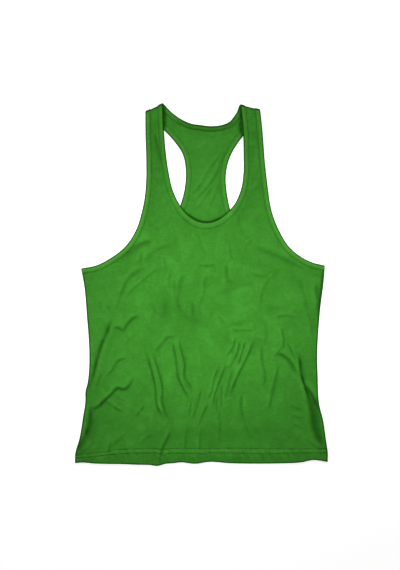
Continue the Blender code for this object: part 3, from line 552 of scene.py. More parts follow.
def backLie(where):
    # height of the back panel's middle, and its painted shade
    bound = nearest(backBound, where)
    offBand = 1 - ease(bound, binding["bandEnd"], lie["bandFlank"])
    lift = np.maximum(offBand, nearFold(where, shoulder["backFlank"]))
    free = ease(nearest(sides, where), lie["seamHold"], lie["seamRelease"])
    free = free * ease(bound, binding["bandEnd"], lie["seamRelease"])
    free = free * ease(nearest(hemPath, where), hemDepth, lie["hemFlank"])
    ridge, _, dark = creaseField(backCreases, where)
    loose = (1 + swell(where, "back", lie["backSwellLength"])) * lie["backSwell"]
    groove = grooveAt(bound)
    height = cloth / 2 + bandLift * lift + (ridge + np.maximum(loose, 0)) * free
    return height - groove * ease(lift), deepen(dark, groove / lie["seamGroove"] * lie["seamDark"])


def frontLie(where):
    # height of the front panel's middle over the back, its bindings, its hem and the bare surface, and its
    # painted shade
    overBack = inside(backOutline, where) | (where[:, 1] < underarm)
    inward = nearest(backArmholes, where) * np.where(overBack, 1, -1)
    backTop = np.where(overBack, backLie(where)[0] + cloth / 2, cloth)
    rim = lie["rim"]
    onBack = np.maximum(cloth + (rim - cloth) * (1 - ease(inward, lie["rimIn"], lie["drapeIn"])), backTop)
    offBack = -gap + (rim + gap) * (1 - ease(-inward, lie["rimOut"], lie["drapeOut"]))
    under = np.where(inward > 0, onBack, offBack)
    overHem = 1 - ease(nearest(hemPath, where) - hemDepth, lie["hemClear"], lie["hemFlank"])
    overHem = cloth + 2 * cloth * overHem
    under = np.maximum(under, np.where(where[:, 1] < 0, overHem, -gap))
    bound = nearest(frontBound, where)
    lift = bandLift * (1 - ease(bound, binding["bandEnd"], lie["bandFlank"]))
    sideAway = nearest(sides, where)
    fromEdge = ease(inward, 0, lie["slackEdge"])
    slack = lie["slack"] * (1 - bell(sideAway, lie["slackReach"])) * fromEdge
    free = ease(sideAway, lie["seamHold"], lie["seamRelease"])
    loose = lie["frontSwell"] * swell(where, "front", lie["frontSwellLength"])
    loose = loose * ease(sideAway, 0, lie["slackReach"]) * fromEdge
    loose = loose + lie["fineSwell"] * swell(where, "fine", lie["fineSwellLength"])
    ridge, trough, dark = creaseField(frontCreases, where)
    groove = grooveAt(bound - widerAt(where))
    room = slack + loose
    dip = np.minimum(trough * free, np.maximum(room - lie["slackLeft"], 0))
    height = under + gap + cloth / 2 + lift + room + ridge * free - dip - groove
    height = np.maximum(height, under + gap + cloth / 2)
    strap = nearFold(where, shoulder["flank"]) * onStrap(where)
    return height + (frontAtFold - height) * strap, deepen(dark, groove / lie["seamGroove"] * lie["seamDark"])


# Bound edges as stations: x, y, the way across x, y, and the height of the panel's middle

def widerAt(where):
    away = np.linalg.norm(where - np.array(binding["scoop"]) * mm, axis=1)
    return binding["wider"] * bell(away, binding["widerReach"])


def pointOn(stations, inward):
    # points that lie a distance in from the fold, more where the binding is wider
    wider = widerAt(stations[:, :2]) * ease(inward, binding["widerFrom"], binding["widerOver"])
    return stations[:, :2] + stations[:, 2:4] * (inward + wider)[:, None]


def boundEdge(points, heightAt, startWay, endWay):
    path = smoothPath(points, binding["pitch"])
    for end in (0, -1):
        if path[end][1] > shoulder["above"]:
            past = beyondFold(path[end][None])[0]
            path[end] -= shoulderOf(path[end][None])[1][0] * past
    across = sideways(path)
    arc = arcLength(path)
    turned = across.copy()
    for way, away, end in ((startWay, arc, 0), (endWay, arc[-1] - arc, -1)):
        oblique = np.array(way) / np.dot(way, across[end])
        share = (1 - ease(away, 0, binding["obliqueRun"]))[:, None]
        turned = turned * (1 - share) + oblique * share
    heights = heightAt(path + turned * binding["width"] / 2)[0]
    over = binding["evenOver"]
    heights[over // 2:-(over // 2)] = np.convolve(heights, np.ones(over) / over, "valid")
    return np.column_stack([path, turned, heights])


def foldRows(own, theirs, side, height):
    # stations on one half of a shoulder fold, from its axis to its apex, shared with the other layer
    out = foldAxes(shoulderLines[side])[2]
    rows = []
    for step in range(1, shoulder["steps"] + 1):
        share = step / shoulder["steps"]
        mix = own[:4] + (theirs[:4] - own[:4]) * share / 2
        rows.append([*(mix[:2] + out * foldArc * share), *mix[2:], height])
    return np.array(rows)


def seamWay(near, far):
    # the way from an underarm corner down its side seam
    return (far - near) / np.linalg.norm(far - near)


# Each strap's edges: the edge, which of its stations is at the fold, and the side
strapEdges = dict(
    armRightEnd=("armRight", -1, "right"), neckRightEnd=("neck", 0, "right"),
    neckLeftEnd=("neck", -1, "left"), armLeftEnd=("armLeft", 0, "left"),
)


def buildEdges():
    left, right = foldAxes(shoulderLines["left"])[1], foldAxes(shoulderLines["right"])[1]
    sideLeft, sideRight = paths["sideLeft"], paths["sideRight"]
    downLeft, downRight = seamWay(sideLeft[0], sideLeft[3]), seamWay(sideRight[-1], sideRight[-4])
    flat, made = {}, {}
    for layer, heightAt in (("front", frontLie), ("back", backLie)):
        flat[layer] = dict(
            armRight=boundEdge(cutLines[layer + "ArmRight"], heightAt, downRight, -right),
            neck=boundEdge(cutLines[layer + "Neck"], heightAt, right, left),
            armLeft=boundEdge(cutLines[layer + "ArmLeft"], heightAt, -left, downLeft),
        )
    for layer, other, level in (("front", "back", frontAtFold), ("back", "front", backAtFold)):
        own, theirs = flat[layer], flat[other]
        made[layer] = dict(own)
        for name, (edge, end, side) in strapEdges.items():
            own[edge][end, 4] = level
            made[layer][name] = foldRows(own[edge][end], theirs[edge][end], side, level)
    return made


# Meshes
sharpAngle = 50                         # degrees


def makePiece(name, verts, faces, uvs=None, dark=None):
    mesh = bpy.data.meshes.new(name)
    mesh.from_pydata([tuple(v) for v in verts], [], faces)
    mesh.update()
    if uvs is not None:
        layer = mesh.uv_layers.new(name="cut")
        corners = np.zeros(len(mesh.loops), int)
        mesh.loops.foreach_get("vertex_index", corners)
        layer.data.foreach_set("uv", np.asarray(uvs, np.float32)[corners].ravel())
    # the dark attribute is painted shade, and painted highlight where it is negative
    if dark is not None:
        mesh.attributes.new("dark", "FLOAT", "POINT").data.foreach_set("value", np.asarray(dark, np.float32))
    mesh.shade_smooth()
    mesh.set_sharp_from_angle(angle=math.radians(sharpAngle))
    piece = bpy.data.objects.new(name, mesh)
    bpy.context.scene.collection.objects.link(piece)
    return piece


def tubeFaces(rings, size):
    # quads between rings of points, and a face at each end
    ids = np.arange(rings * size).reshape(rings, size)
    ahead = np.roll(ids, -1, axis=1)
    quads = np.stack([ids[:-1], ahead[:-1], ahead[1:], ids[1:]], axis=-1).reshape(-1, 4)
    return quads.tolist() + [ids[0, ::-1].tolist(), ids[-1].tolist()]


# The two panels. hemShows is how much of the stitches' relief a layer shows.
layers = dict(
    front=dict(
        heightAt=frontLie, creases=frontCreases, shades=frontShades, sharpShades=[], bound=frontBound,
        foldLevel=frontAtFold, pitch=2.75 * mm, hemShows=1, turnedDown=True,
    ),
    back=dict(
        heightAt=backLie, creases=backCreases, shades=backShades, sharpShades=backShades, bound=backBound,
        foldLevel=backAtFold, pitch=4.2 * mm, hemShows=0.4, turnedDown=False,
    ),
)
# Rows of the panels' own points are in millimetres from the edge or line that they follow
panelMesh = dict(
    edgePitch=2.8 * mm, jitter=0.06,
    bandRows=(4.5, 8.5, 10.0, 10.9, 11.8, 13.2),
    sideRows=(0.15, 0.5, 1.2, 2.3, 4.0),
    hemRows=(0.12, 0.4, 1.9, 1.0, 3, 6, 10, 14, 17.5),
    stitchRows=(-1.6, -0.7, 0, 0.7, 1.6),
    ledge=(-0.4, 0.6),
    creaseRows=(-2.1, -1.05, 0, 1.05, 2.1),         # in widths of the crease
    narrow=3 * mm, shadePitch=2 * mm,               # shades narrower than this have rows of their own
    shadeRows=(-3.9, -2.6, -1.3, 0, 1.3, 2.6, 3.9),
    edgeClear=0.08 * mm, edgeSpace=0.5 * mm,        # least distance from the outline, and from other points
    creaseClear=1.5 * mm, creaseSpace=1.3 * mm, creaseThin=1.2 * mm,
    gridClear=0.4, gridSpace=0.62, foldClear=0.5,   # in pitches
    hemShown=34 * mm, hemFade=10 * mm,              # the stitches' relief ends here
    bandFade=12 * mm, bandsAbove=-0.1,              # bound edges hold the cloth near them, from here up
    ledgeOver=0.1 * mm, seamRound=1.15 * mm, seamThin=0.9, hemRound=1.0 * mm, hemLeast=0.004,
)
# Hem stitching: the two rows as they lie, and the puckers between and below them, with painted shade in the
# rows' grooves and a painted highlight on the puckers
hemStitch = dict(
    lower=[(-252, -345.5), (-245, -344.8), (-216, -342.6), (-180, -337.8), (-146, -335.6), (-90, -334.8),
           (-76, -337.6), (-56, -335.4), (-20, -335.4), (0, -337.2), (20, -335), (60, -334.8), (117, -336.6),
           (170, -335.4), (252, -334.4)],
    upper=[(-252, -340.6), (-233, -337), (-208, -334.8), (-185, -332.4), (-171, -328.2), (-123, -326.6),
           (-90, -326.4), (-76, -328.2), (-56, -326), (0, -326.6), (60, -325.6), (117, -326.6), (170, -327),
           (252, -326.6)],
    # dimpleDark, leastDark, dark and its swell set the painted shade in the grooves, the gleams the painted
    # highlight on the puckers
    dimple=0.34 * mm, dimpleHalf=1.5 * mm, dimpleDark=0.88, leastDark=0.06,
    pucker=0.24 * mm, puckerLength=9 * mm, puckerWaves=8, puckerSlant=0.35, puckerStretch=0.2,
    gleam=0.50, gleamEven=0.60, gleamWaved=0.40, gleamBelow=0.5,
    below=8 * mm, puckerBelow=0.6, swellUp=0.15 * mm, past=1.5 * mm,
    dark=0.75, darkSwell=0.35, darkLimits=(0.25, 1.2), breakLength=17 * mm,
)


def hemRowY(x, name):
    row = np.array(hemStitch[name]) * mm
    return np.interp(x, row[:, 0], row[:, 1])


def hemTopY(x):
    # the raw edge of the turned-up cloth, just past the upper row of stitches
    edge = np.interp(x, paths["hem"][:, 0], paths["hem"][:, 1])
    return np.maximum(edge + hemDepth, hemRowY(x, "upper") + hemStitch["past"])


def hemRelief(where):
    # the stitch rows' grooves with the puckered band between them, and their painted shade and painted
    # highlight
    relief, dark = np.zeros(len(where)), np.zeros(len(where))
    x, y = where[:, 0], where[:, 1]
    low, high = hemRowY(x, "lower"), hemRowY(x, "upper")
    for row, name in ((low, "lower"), (high, "upper")):
        groove = hump(y - row, hemStitch["dimpleHalf"])
        relief -= hemStitch["dimple"] * groove
        faint = hemStitch["dark"] + hemStitch["darkSwell"] * swell(where, name, hemStitch["breakLength"])
        dark = np.maximum(dark, hemStitch["dimpleDark"] * groove * np.clip(faint, *hemStitch["darkLimits"]))
    band = np.sin(np.clip((y - low) / (high - low), 0, 1) * math.pi)
    slanted = np.column_stack([x + hemStitch["puckerSlant"] * y, y * hemStitch["puckerStretch"]])
    waves = swell(slanted, "pucker", hemStitch["puckerLength"], hemStitch["puckerWaves"])
    below = np.exp(-np.clip(low - y, 0, 1) / hemStitch["below"]) * (y < low)
    puckered = band + hemStitch["puckerBelow"] * below
    relief += hemStitch["pucker"] * waves * puckered + hemStitch["swellUp"] * band
    gleam = np.sqrt(band) * (hemStitch["gleamEven"] + hemStitch["gleamWaved"] * waves)
    gleam = hemStitch["gleam"] * (gleam + hemStitch["gleamBelow"] * below * waves)
    return relief, np.where(dark > hemStitch["leastDark"], dark, -gleam)


class Sheet:
    # points of one panel in the unfolded cloth, some with the height of the cloth's middle
    def __init__(self):
        self.points, self.heights = [], []

    def add(self, points, heights=None):
        first = len(self.points)
        self.points.extend(map(tuple, points))
        self.heights.extend([np.nan] * len(points) if heights is None else heights)
        return list(range(first, len(self.points)))

    def addBetween(self, points, outline, fromEdge, fromOthers, thin=None):
        # adds those points inside the outline that lie clear of it and of the points there are
        tree = kdtree.KDTree(len(self.points))
        for i, point in enumerate(self.points):
            tree.insert((point[0], point[1], 0), i)
        tree.balance()
        points = points[inside(outline, points)]
        points = points[np.abs(measure(np.vstack([outline, outline[:1]]), points)[0]) > fromEdge]
        points = points[[tree.find((x, y, 0))[2] > fromOthers for x, y in points]]
        self.add(points if thin is None else thinned(points, thin))


def thinned(points, spacing):
    # leaves out points that lie too near one already kept
    kept, cells = [], {}
    near = [(i, j) for i in (-1, 0, 1) for j in (-1, 0, 1)]
    for x, y in points:
        column, row = int(x // spacing), int(y // spacing)
        around = [q for i, j in near for q in cells.get((column + i, row + j), [])]
        if all((q[0] - x) ** 2 + (q[1] - y) ** 2 > spacing ** 2 for q in around):
            cells.setdefault((column, row), []).append((x, y))
            kept.append((x, y))
    return np.array(kept)


def bandLoop(sheet, stations):
    # a bound edge's raw row and the rows inside it; the panel's outline runs in, along the raw row and out
    raw = sheet.add(pointOn(stations, binding["rawEdge"]), stations[:, 4])
    rows = []
    for row in panelMesh["bandRows"]:
        fixed = stations[:, 4] if row * mm < binding["width"] else None
        rows.append(sheet.add(pointOn(stations, row * mm), fixed))
    return [ids[0] for ids in rows[::-1]] + raw + [ids[-1] for ids in rows]


def seamRow(sheet, fromStation, toStation, pitch):
    # a row of points over a strap, between its two bindings
    start, end = (pointOn(s[None], panelMesh["bandRows"][-1] * mm)[0] for s in (fromStation, toStation))
    count = max(2, round(np.linalg.norm(end - start) / pitch))
    share = np.linspace(0, 1, count + 1)[1:-1, None]
    return sheet.add(start + (end - start) * share, [fromStation[4]] * (count - 1))


def layOutline(sheet, own, hem, right, left, pitch):
    # the panel's edge, anticlockwise from the hem's left end, and the rows over its straps
    clear = panelMesh["bandRows"][-1] * mm + panelMesh["edgePitch"] / 2
    ends = {name: own[name].copy() for name in strapEdges}
    for name, (_, _, side) in strapEdges.items():
        ends[name][-1, :2] -= foldAxes(shoulderLines[side])[2] * gap / 2        # the shoulder seam's air
    loop = sheet.add(hem)
    loop += sheet.add(right[1:][np.linalg.norm(right[1:] - right[-1], axis=1) > clear])
    loop += bandLoop(sheet, np.vstack([own["armRight"], ends["armRightEnd"]]))
    loop += seamRow(sheet, ends["armRightEnd"][-1], ends["neckRightEnd"][-1], pitch)
    loop += bandLoop(sheet, np.vstack([ends["neckRightEnd"][::-1], own["neck"], ends["neckLeftEnd"]]))
    loop += seamRow(sheet, ends["neckLeftEnd"][-1], ends["armLeftEnd"][-1], pitch)
    loop += bandLoop(sheet, np.vstack([ends["armLeftEnd"][::-1], own["armLeft"]]))
    loop += sheet.add(left[:-1][np.linalg.norm(left[:-1] - left[0], axis=1) > clear])
    for arm, neck in (("armRightEnd", "neckRightEnd"), ("armLeftEnd", "neckLeftEnd")):
        stations = []
        for name in (arm, neck):
            edge, end, _ = strapEdges[name]
            stations.append([own[edge][end], *ends[name][:-1]])
        for armStation, neckStation in zip(*stations):
            seamRow(sheet, armStation, neckStation, pitch)
    return loop


def edgeRows(hem, seams):
    # rows of points beside the side seams, the hem's edge, its raw edge and its stitches
    rows = [path + sideways(path) * row * mm for path in seams for row in panelMesh["sideRows"]]
    x = hem[:, 0]
    lines = [(hem[:, 1], "hemRows"), (hemTopY(x), "ledge")]
    lines += [(hemRowY(x, row), "stitchRows") for row in ("lower", "upper")]
    for y, offsets in lines:
        rows += [np.column_stack([x, y + offset * mm]) for offset in panelMesh[offsets]]
    return np.vstack(rows)


def creasePoints(creases, shades, pitch):
    rows = []
    for row in creases:
        line = smoothPath(row.line, pitch)
        rows += [line + sideways(line) * offset * row.width for offset in panelMesh["creaseRows"]]
    for row in shades:
        if row.width < panelMesh["narrow"]:
            line = smoothPath(row.line, panelMesh["shadePitch"])
            rows += [line + sideways(line) * offset * mm for offset in panelMesh["shadeRows"]]
    return np.vstack(rows)


def gridPoints(outline, pitch, seed):
    # an even grid of triangles, a little uneven, up to the shoulder folds
    low, high = outline.min(0), outline.max(0)
    rows = []
    for j, y in enumerate(np.arange(low[1], high[1], pitch * math.sqrt(3) / 2)):
        x = np.arange(low[0] + (j % 2) * pitch / 2, high[0], pitch)
        rows.append(np.column_stack([x, np.full(len(x), y)]))
    points = np.vstack(rows)
    jitter = panelMesh["jitter"]
    points = points + np.random.default_rng(seeds[seed]).uniform(-jitter, jitter, points.shape) * pitch
    belowFold = beyondFold(points) < -panelMesh["foldClear"] * pitch
    return points[belowFold | (points[:, 1] < shoulder["above"])]


def stationLevel(own, where):
    # height that the nearest bound edge gives the panel
    best, level = np.full(len(where), np.inf), np.zeros(len(where))
    for name in ("armRight", "neck", "armLeft"):
        away, along = measure(own[name][:, :2], where)
        near = np.abs(away) < best
        level = np.where(near, np.interp(along, arcLength(own[name][:, :2]), own[name][:, 4]), level)
        best = np.minimum(best, np.abs(away))
    return level


def panelLevel(layer, own, where, known, hemAway):
    # height of the panel's middle, and its painted shade and painted highlight
    settings = layers[layer]
    free, dark = settings["heightAt"](where)
    relief, stitched = hemRelief(where)
    nearHem = 1 - ease(hemAway, panelMesh["hemShown"], panelMesh["hemFade"])
    free = free + relief * nearHem * settings["hemShows"]
    stitched = stitched * (nearHem > 0.5)
    dark = np.where(stitched < 0, dark + stitched, deepen(dark, stitched))
    bandShare = ease(nearest(settings["bound"], where), binding["width"], panelMesh["bandFade"])
    bandLevel = stationLevel(own, where)
    besideBand = bandLevel + (free - bandLevel) * bandShare
    free = np.where(where[:, 1] < panelMesh["bandsAbove"], free, besideBand)
    middle = np.where(np.isnan(known), free, known)
    return np.where((beyondFold(where) > -1e-6) & onStrap(where), settings["foldLevel"], middle), dark


def rounding(away, radius, least):
    # share of its thickness that a rounded edge has at a distance from its end
    return np.sqrt(np.clip(1 - (1 - np.clip(away / radius, 0, 1)) ** 2, least, 1))


def wallSides(where, middle, corner, sideAway, hemAway, turnedDown):
    # the wall's top and bottom stand off the sheet along its normals, doubled where the hem is turned up
    solid = np.column_stack([where, middle])
    facing = np.cross(solid[corner[:, 1]] - solid[corner[:, 0]], solid[corner[:, 2]] - solid[corner[:, 0]])
    normal = np.zeros_like(solid)
    for k in range(3):
        np.add.at(normal, corner[:, k], facing)
    normal /= np.linalg.norm(normal, axis=1)[:, None]
    seamShare = rounding(sideAway, panelMesh["seamRound"], 0.0)
    hemShare = rounding(hemAway, panelMesh["hemRound"], panelMesh["hemLeast"])
    outer = cloth / 2 - cloth * panelMesh["seamThin"] * (1 - seamShare)
    inner = cloth / 2 + cloth * (where[:, 1] < hemTopY(where[:, 0]) + panelMesh["ledgeOver"])
    upper, lower = (outer, inner) if turnedDown else (inner, outer)
    centre = (upper - lower) / 2
    upper, lower = centre + (upper - centre) * hemShare, (lower + centre) * hemShare - centre
    top, bottom = solid + normal * upper[:, None], solid - normal * lower[:, None]
    if not turnedDown:
        bottom[:, 2] = np.maximum(bottom[:, 2], 0.0)
    return np.vstack([top, bottom])


def buildPanel(name, layer, edges):
    settings, own = layers[layer], edges[layer]
    pitch = settings["pitch"]
    names = ("hem", "sideRight", "sideLeft")
    hem, right, left = (smoothPath(cutLines[line], panelMesh["edgePitch"]) for line in names)
    sheet = Sheet()
    loop = layOutline(sheet, own, hem, right, left, pitch)
    outline = np.array([sheet.points[i] for i in loop])
    sheet.addBetween(edgeRows(hem, (right, left)), outline, panelMesh["edgeClear"], panelMesh["edgeSpace"])
    sheet.addBetween(creasePoints(settings["creases"], settings["sharpShades"], pitch), outline,
                     panelMesh["creaseClear"], panelMesh["creaseSpace"], panelMesh["creaseThin"])
    sheet.addBetween(gridPoints(outline, pitch, layer + "Mesh"), outline,
                     panelMesh["gridClear"] * pitch, panelMesh["gridSpace"] * pitch)

    links = list(zip(loop, loop[1:] + loop[:1]))
    flat, _, triangles, origin, _, _ = delaunay_2d_cdt([Vector(p) for p in sheet.points], links, [], 1, 1e-7)
    where, corner = np.array([tuple(p) for p in flat]), np.array(triangles)
    known = np.array(sheet.heights, float)[[ids[0] for ids in origin]]
    hemAway, sideAway = nearest(hemPath, where), nearest([right, left], where)
    middle, dark = panelLevel(layer, own, where, known, hemAway)
    # painted shade along the rounded side and hem edges and at the shoulder fold, then the tables' painted
    # shades and painted light
    rim = lie["rimDark"] * rimOf(np.minimum(sideAway, hemAway), lie["rimFull"], lie["rimFade"])
    dark = deepen(deepen(dark, rim), foldRim(where))
    dark = deepen(dark, shadeField(settings["shades"], where))

    count = len(where)
    verts = foldOver(wallSides(where, middle, corner, sideAway, hemAway, settings["turnedDown"]))
    faces = [tuple(t) for t in corner] + [(c + count, b + count, a + count) for a, b, c in corner]
    backOf = {old: new for new, ids in enumerate(origin) for old in ids}
    edge = [backOf[i] for i in loop]
    faces += [(a, a + count, b + count, b) for a, b in zip(edge, edge[1:] + edge[:1])]
    low, high = verts[:, 2].min() / mm, verts[:, 2].max() / mm
    print(f"{name}: {count} points, {len(faces)} faces, z {low:.2f} to {high:.2f} mm")
    return makePiece(name, verts, faces, np.vstack([where, where]), np.concatenate([dark, dark]))


def bindingSection():
    # the folded strip's outline: distance in from the fold, and distance out from the panel's middle
    radius, half = boundHalf - cloth / 2, cloth / 2
    inward = np.array(binding["rows"]) * mm
    tuck = binding["edgeTuck"] * ease(inward, binding["tuckFrom"], binding["tuckOver"])
    dimple = binding["dimple"] * hump(inward - binding["stitchAt"], binding["dimpleHalf"])
    puff = binding["puff"] * hump(inward - binding["puffAt"], binding["puffHalf"])
    flank = np.column_stack([inward, radius + puff - dimple - tuck])
    angles = np.radians(np.linspace(90, 270, binding["foldPoints"]))
    fold = np.column_stack([boundHalf + radius * np.cos(angles), radius * np.sin(angles)])
    middle = np.vstack([flank, fold, (flank * [1, -1])[::-1]])
    across = sideways(middle)
    outer, inner = middle - across * half, middle + across * half
    tip = np.array(binding["tip"]) * half
    return np.vstack([outer, middle[-1:] + tip * [1, -1], inner[::-1], middle[:1] + tip])


def buildBinding(name, stations, outward):
    section = bindingSection()
    size, rings = len(section), len(stations)
    arc = arcLength(stations[:, :2])
    pick = np.random.default_rng(len(name))
    ripple = np.zeros(rings)
    for _ in range(binding["ripples"]):
        pitch = binding["rippleLength"] * pick.uniform(*binding["rippleSpread"])
        ripple += np.sin(arc * 2 * math.pi / pitch + pick.uniform(*binding["rippleStart"]))
    ripple *= binding["ripple"] / math.sqrt(binding["ripples"])
    # from here on each station is repeated for every point of the section
    inward, off = np.tile(section, (rings, 1)).T
    spread, side = np.repeat(stations, size, axis=0), np.repeat(outward, size)
    at = pointOn(spread, inward)
    waved = np.repeat(ripple, size) * np.clip(off / boundHalf, 0, 1) * (side > 0)
    z = np.maximum(spread[:, 4] + side * off + waved, 0.0)
    # painted shade in the stitches' dimple, at the inner edge and along the fold, a painted highlight on the
    # puff, and on the back the painted shadows of the front
    shade = binding["stitchDark"] * bell(inward - binding["stitchAt"], binding["dimpleHalf"])
    shade = shade + binding["edgeDark"] * (inward > binding["edgeFrom"])
    gleams = binding["gleamNeck"] if name == "neckBinding" else binding["gleamArm"]
    shade = shade - np.where(side > 0, *gleams) * bell(inward - binding["puffAt"], binding["gleamHalf"])
    rim = binding["rimDark"] * rimOf(inward, binding["rimFull"], binding["rimFade"])
    shade = deepen(deepen(shade, rim), foldRim(at))
    dark = np.where(side > 0, shade, deepen(shade, shadeField(backShades, at)))
    uvs = np.column_stack([np.repeat(arc, size), np.tile(arcLength(section), rings)])
    faces = tubeFaces(rings, size)
    print(f"{name}: {arc[-1] / mm:.0f} mm long, {len(faces)} faces")
    return makePiece(name, foldOver(np.column_stack([at, z])), faces, uvs, dark)


def splitAt(stations, place):
    away = np.linalg.norm(stations[:, :2] - np.array(place) * mm, axis=1)
    i = int(away.argmin())
    share = gap / np.linalg.norm(stations[i + 1, :2] - stations[i, :2])
    fresh = stations[i] + (stations[i + 1] - stations[i]) * share
    return stations[:i + 1], np.vstack([fresh[None], stations[i + 1:]])


def bindingPaths(edges):
    # each binding's stations in order along it, with 1 on the front and -1 on the back
    front, back = edges["front"], edges["back"]
    before, after = splitAt(front["neck"], binding["join"])
    parts = dict(
        neckBinding=[(after, 1), (front["neckLeftEnd"], 1), (back["neckLeftEnd"][-2::-1], -1),
                     (back["neck"][::-1], -1), (back["neckRightEnd"], -1), (front["neckRightEnd"][-2::-1], 1),
                     (before, 1)],
        armholeBindingRight=[(front["armRight"], 1), (front["armRightEnd"], 1),
                             (back["armRightEnd"][-2::-1], -1), (back["armRight"][::-1], -1)],
        armholeBindingLeft=[(back["armLeft"][::-1], -1), (back["armLeftEnd"], -1),
                            (front["armLeftEnd"][-2::-1], 1), (front["armLeft"], 1)],
    )
    made = {}
    for name, rows in parts.items():
        outward = np.concatenate([np.full(len(part), side) for part, side in rows])
        made[name] = np.vstack([part for part, _ in rows]), outward
    return made


edges = buildEdges()
print("edges laid out")
frontPanel = buildPanel("frontPanel", "front", edges)
backPanel = buildPanel("backPanel", "back", edges)
bindings = {name: buildBinding(name, *path) for name, path in bindingPaths(edges).items()}

# Sewing thread: each row is one mesh of small stitches, whose ends dive into the cloth
thread = dict(
    radius=0.20 * mm, step=3.0 * mm, length=2.5 * mm, sides=6, proud=0.04 * mm,
    stations=(-0.50, -0.38, -0.15, 0.15, 0.38, 0.50),     # along a stitch, as shares of its length
    girth=(0.45, 0.85, 1.0, 1.0, 0.85, 0.45), dive=(1.7, 0.7, 0.0, 0.0, 0.7, 1.7),      # there, in radii
    hemEnd=249 * mm, hemPitch=1.5 * mm,
)


def stitchRow(name, path, heights, facing):
    # path and heights are where the row lies on the cloth, facing is 1 or -1 for upwards or downwards
    arc = arcLength(path)
    middles = np.arange(thread["step"] / 2, arc[-1] - thread["step"] / 2, thread["step"])
    centre, across = readAlong(path, arc, middles), readAlong(sideways(path), arc, middles)
    across /= np.linalg.norm(across, axis=1)[:, None]
    way = np.column_stack([across[:, 1], -across[:, 0]])
    sign = np.interp(middles, arc, facing)
    height = np.interp(middles, arc, heights) + sign * thread["proud"]
    sides, radius = thread["sides"], thread["radius"]
    rings = len(thread["stations"])
    verts = np.zeros((len(middles), rings, sides, 3))
    for k, (station, girth, dive) in enumerate(zip(thread["stations"], thread["girth"], thread["dive"])):
        for j, turn in enumerate(np.arange(sides) * 2 * math.pi / sides):
            side, up = math.cos(turn) * girth * radius, math.sin(turn) * girth * radius
            verts[:, k, j, :2] = centre + way * station * thread["length"] + across * side
            verts[:, k, j, 2] = height + up - sign * dive * radius
    one = tubeFaces(rings, sides)
    faces = [[i + rings * sides * n for i in face] for n in range(len(middles)) for face in one]
    print(f"{name}: {len(middles)} stitches")
    return makePiece(name, foldOver(verts.reshape(-1, 3)), faces)


def bindingStitches(name, stations, side):
    surface = boundHalf - binding["dimple"]
    return stitchRow(name, pointOn(stations, binding["stitchAt"]), stations[:, 4] + side * surface, side)


def hemStitches(name, row, layer):
    x = np.arange(-thread["hemEnd"], thread["hemEnd"], thread["hemPitch"])
    where = np.column_stack([x, hemRowY(x, row)])
    if layer == "front":
        surface = frontLie(where)[0] + hemRelief(where)[0] + cloth / 2
        return stitchRow(name, where, surface, np.ones(len(x)))
    return stitchRow(name, where, np.full(len(x), hemStitch["dimple"]), -np.ones(len(x)))


threads = []
for name, (stations, outward) in bindingPaths(edges).items():
    for flank, suffix in ((1, "Outer"), (-1, "Inner")):
        threads.append(bindingStitches(name + "Thread" + suffix, stations, outward * flank))
for layer in ("front", "back"):
    for row in ("lower", "upper"):
        threads.append(hemStitches(f"{layer}HemThread{row.capitalize()}", row, layer))


# Materials

def operator(operation, reflected=False):
    def apply(value, other):
        inputs = (other, value) if reflected else (value, other)
        return value.finish.maths(operation, *inputs)
    return apply


class Value:
    # a material's socket of numbers, with arithmetic
    def __init__(self, finish, out):
        self.finish, self.out = finish, out

    __add__, __radd__ = operator("ADD"), operator("ADD", True)
    __sub__, __rsub__ = operator("SUBTRACT"), operator("SUBTRACT", True)
    __mul__, __rmul__ = operator("MULTIPLY"), operator("MULTIPLY", True)
    __truediv__, __rtruediv__ = operator("DIVIDE"), operator("DIVIDE", True)


class Finish:
    # one material and the nodes that make it
    def __init__(self, name, fixed):
        self.material = bpy.data.materials.new(name)
        self.material.use_nodes = True
        self.tree = self.material.node_tree
        self.shader = self.tree.nodes["Principled BSDF"]
        for socket, value in fixed.items():
            self.shader.inputs[socket].default_value = value

    def node(self, kind, settings=None, inputs=(), output=0):
        made = self.tree.nodes.new(kind)
        for name, value in (settings or {}).items():
            setattr(made, name, value)
        pairs = inputs.items() if hasattr(inputs, "items") else enumerate(inputs)
        for socket, value in pairs:
            value = getattr(value, "out", value)
            if isinstance(value, bpy.types.NodeSocket):
                self.tree.links.new(value, made.inputs[socket])
            else:
                made.inputs[socket].default_value = value
        return made.outputs[output]

    def value(self, *args, **named):
        return Value(self, self.node(*args, **named))

    def maths(self, operation, *inputs):
        return self.value("ShaderNodeMath", dict(operation=operation), inputs)

    def noise(self, vector, scale, detail, roughness, stretch=None):
        if stretch:
            vector = self.node("ShaderNodeVectorMath", dict(operation="MULTIPLY"), [vector, stretch])
        return self.value("ShaderNodeTexNoise", dict(noise_dimensions="3D"),
                          {"Vector": vector, "Scale": scale, "Detail": detail, "Roughness": roughness})

    def mix(self, factor, first, second):
        return self.node("ShaderNodeMix", dict(data_type="RGBA"), {0: factor, 6: first, 7: second}, output=2)

    def feed(self, socket, value):
        self.tree.links.new(getattr(value, "out", value), self.shader.inputs[socket])


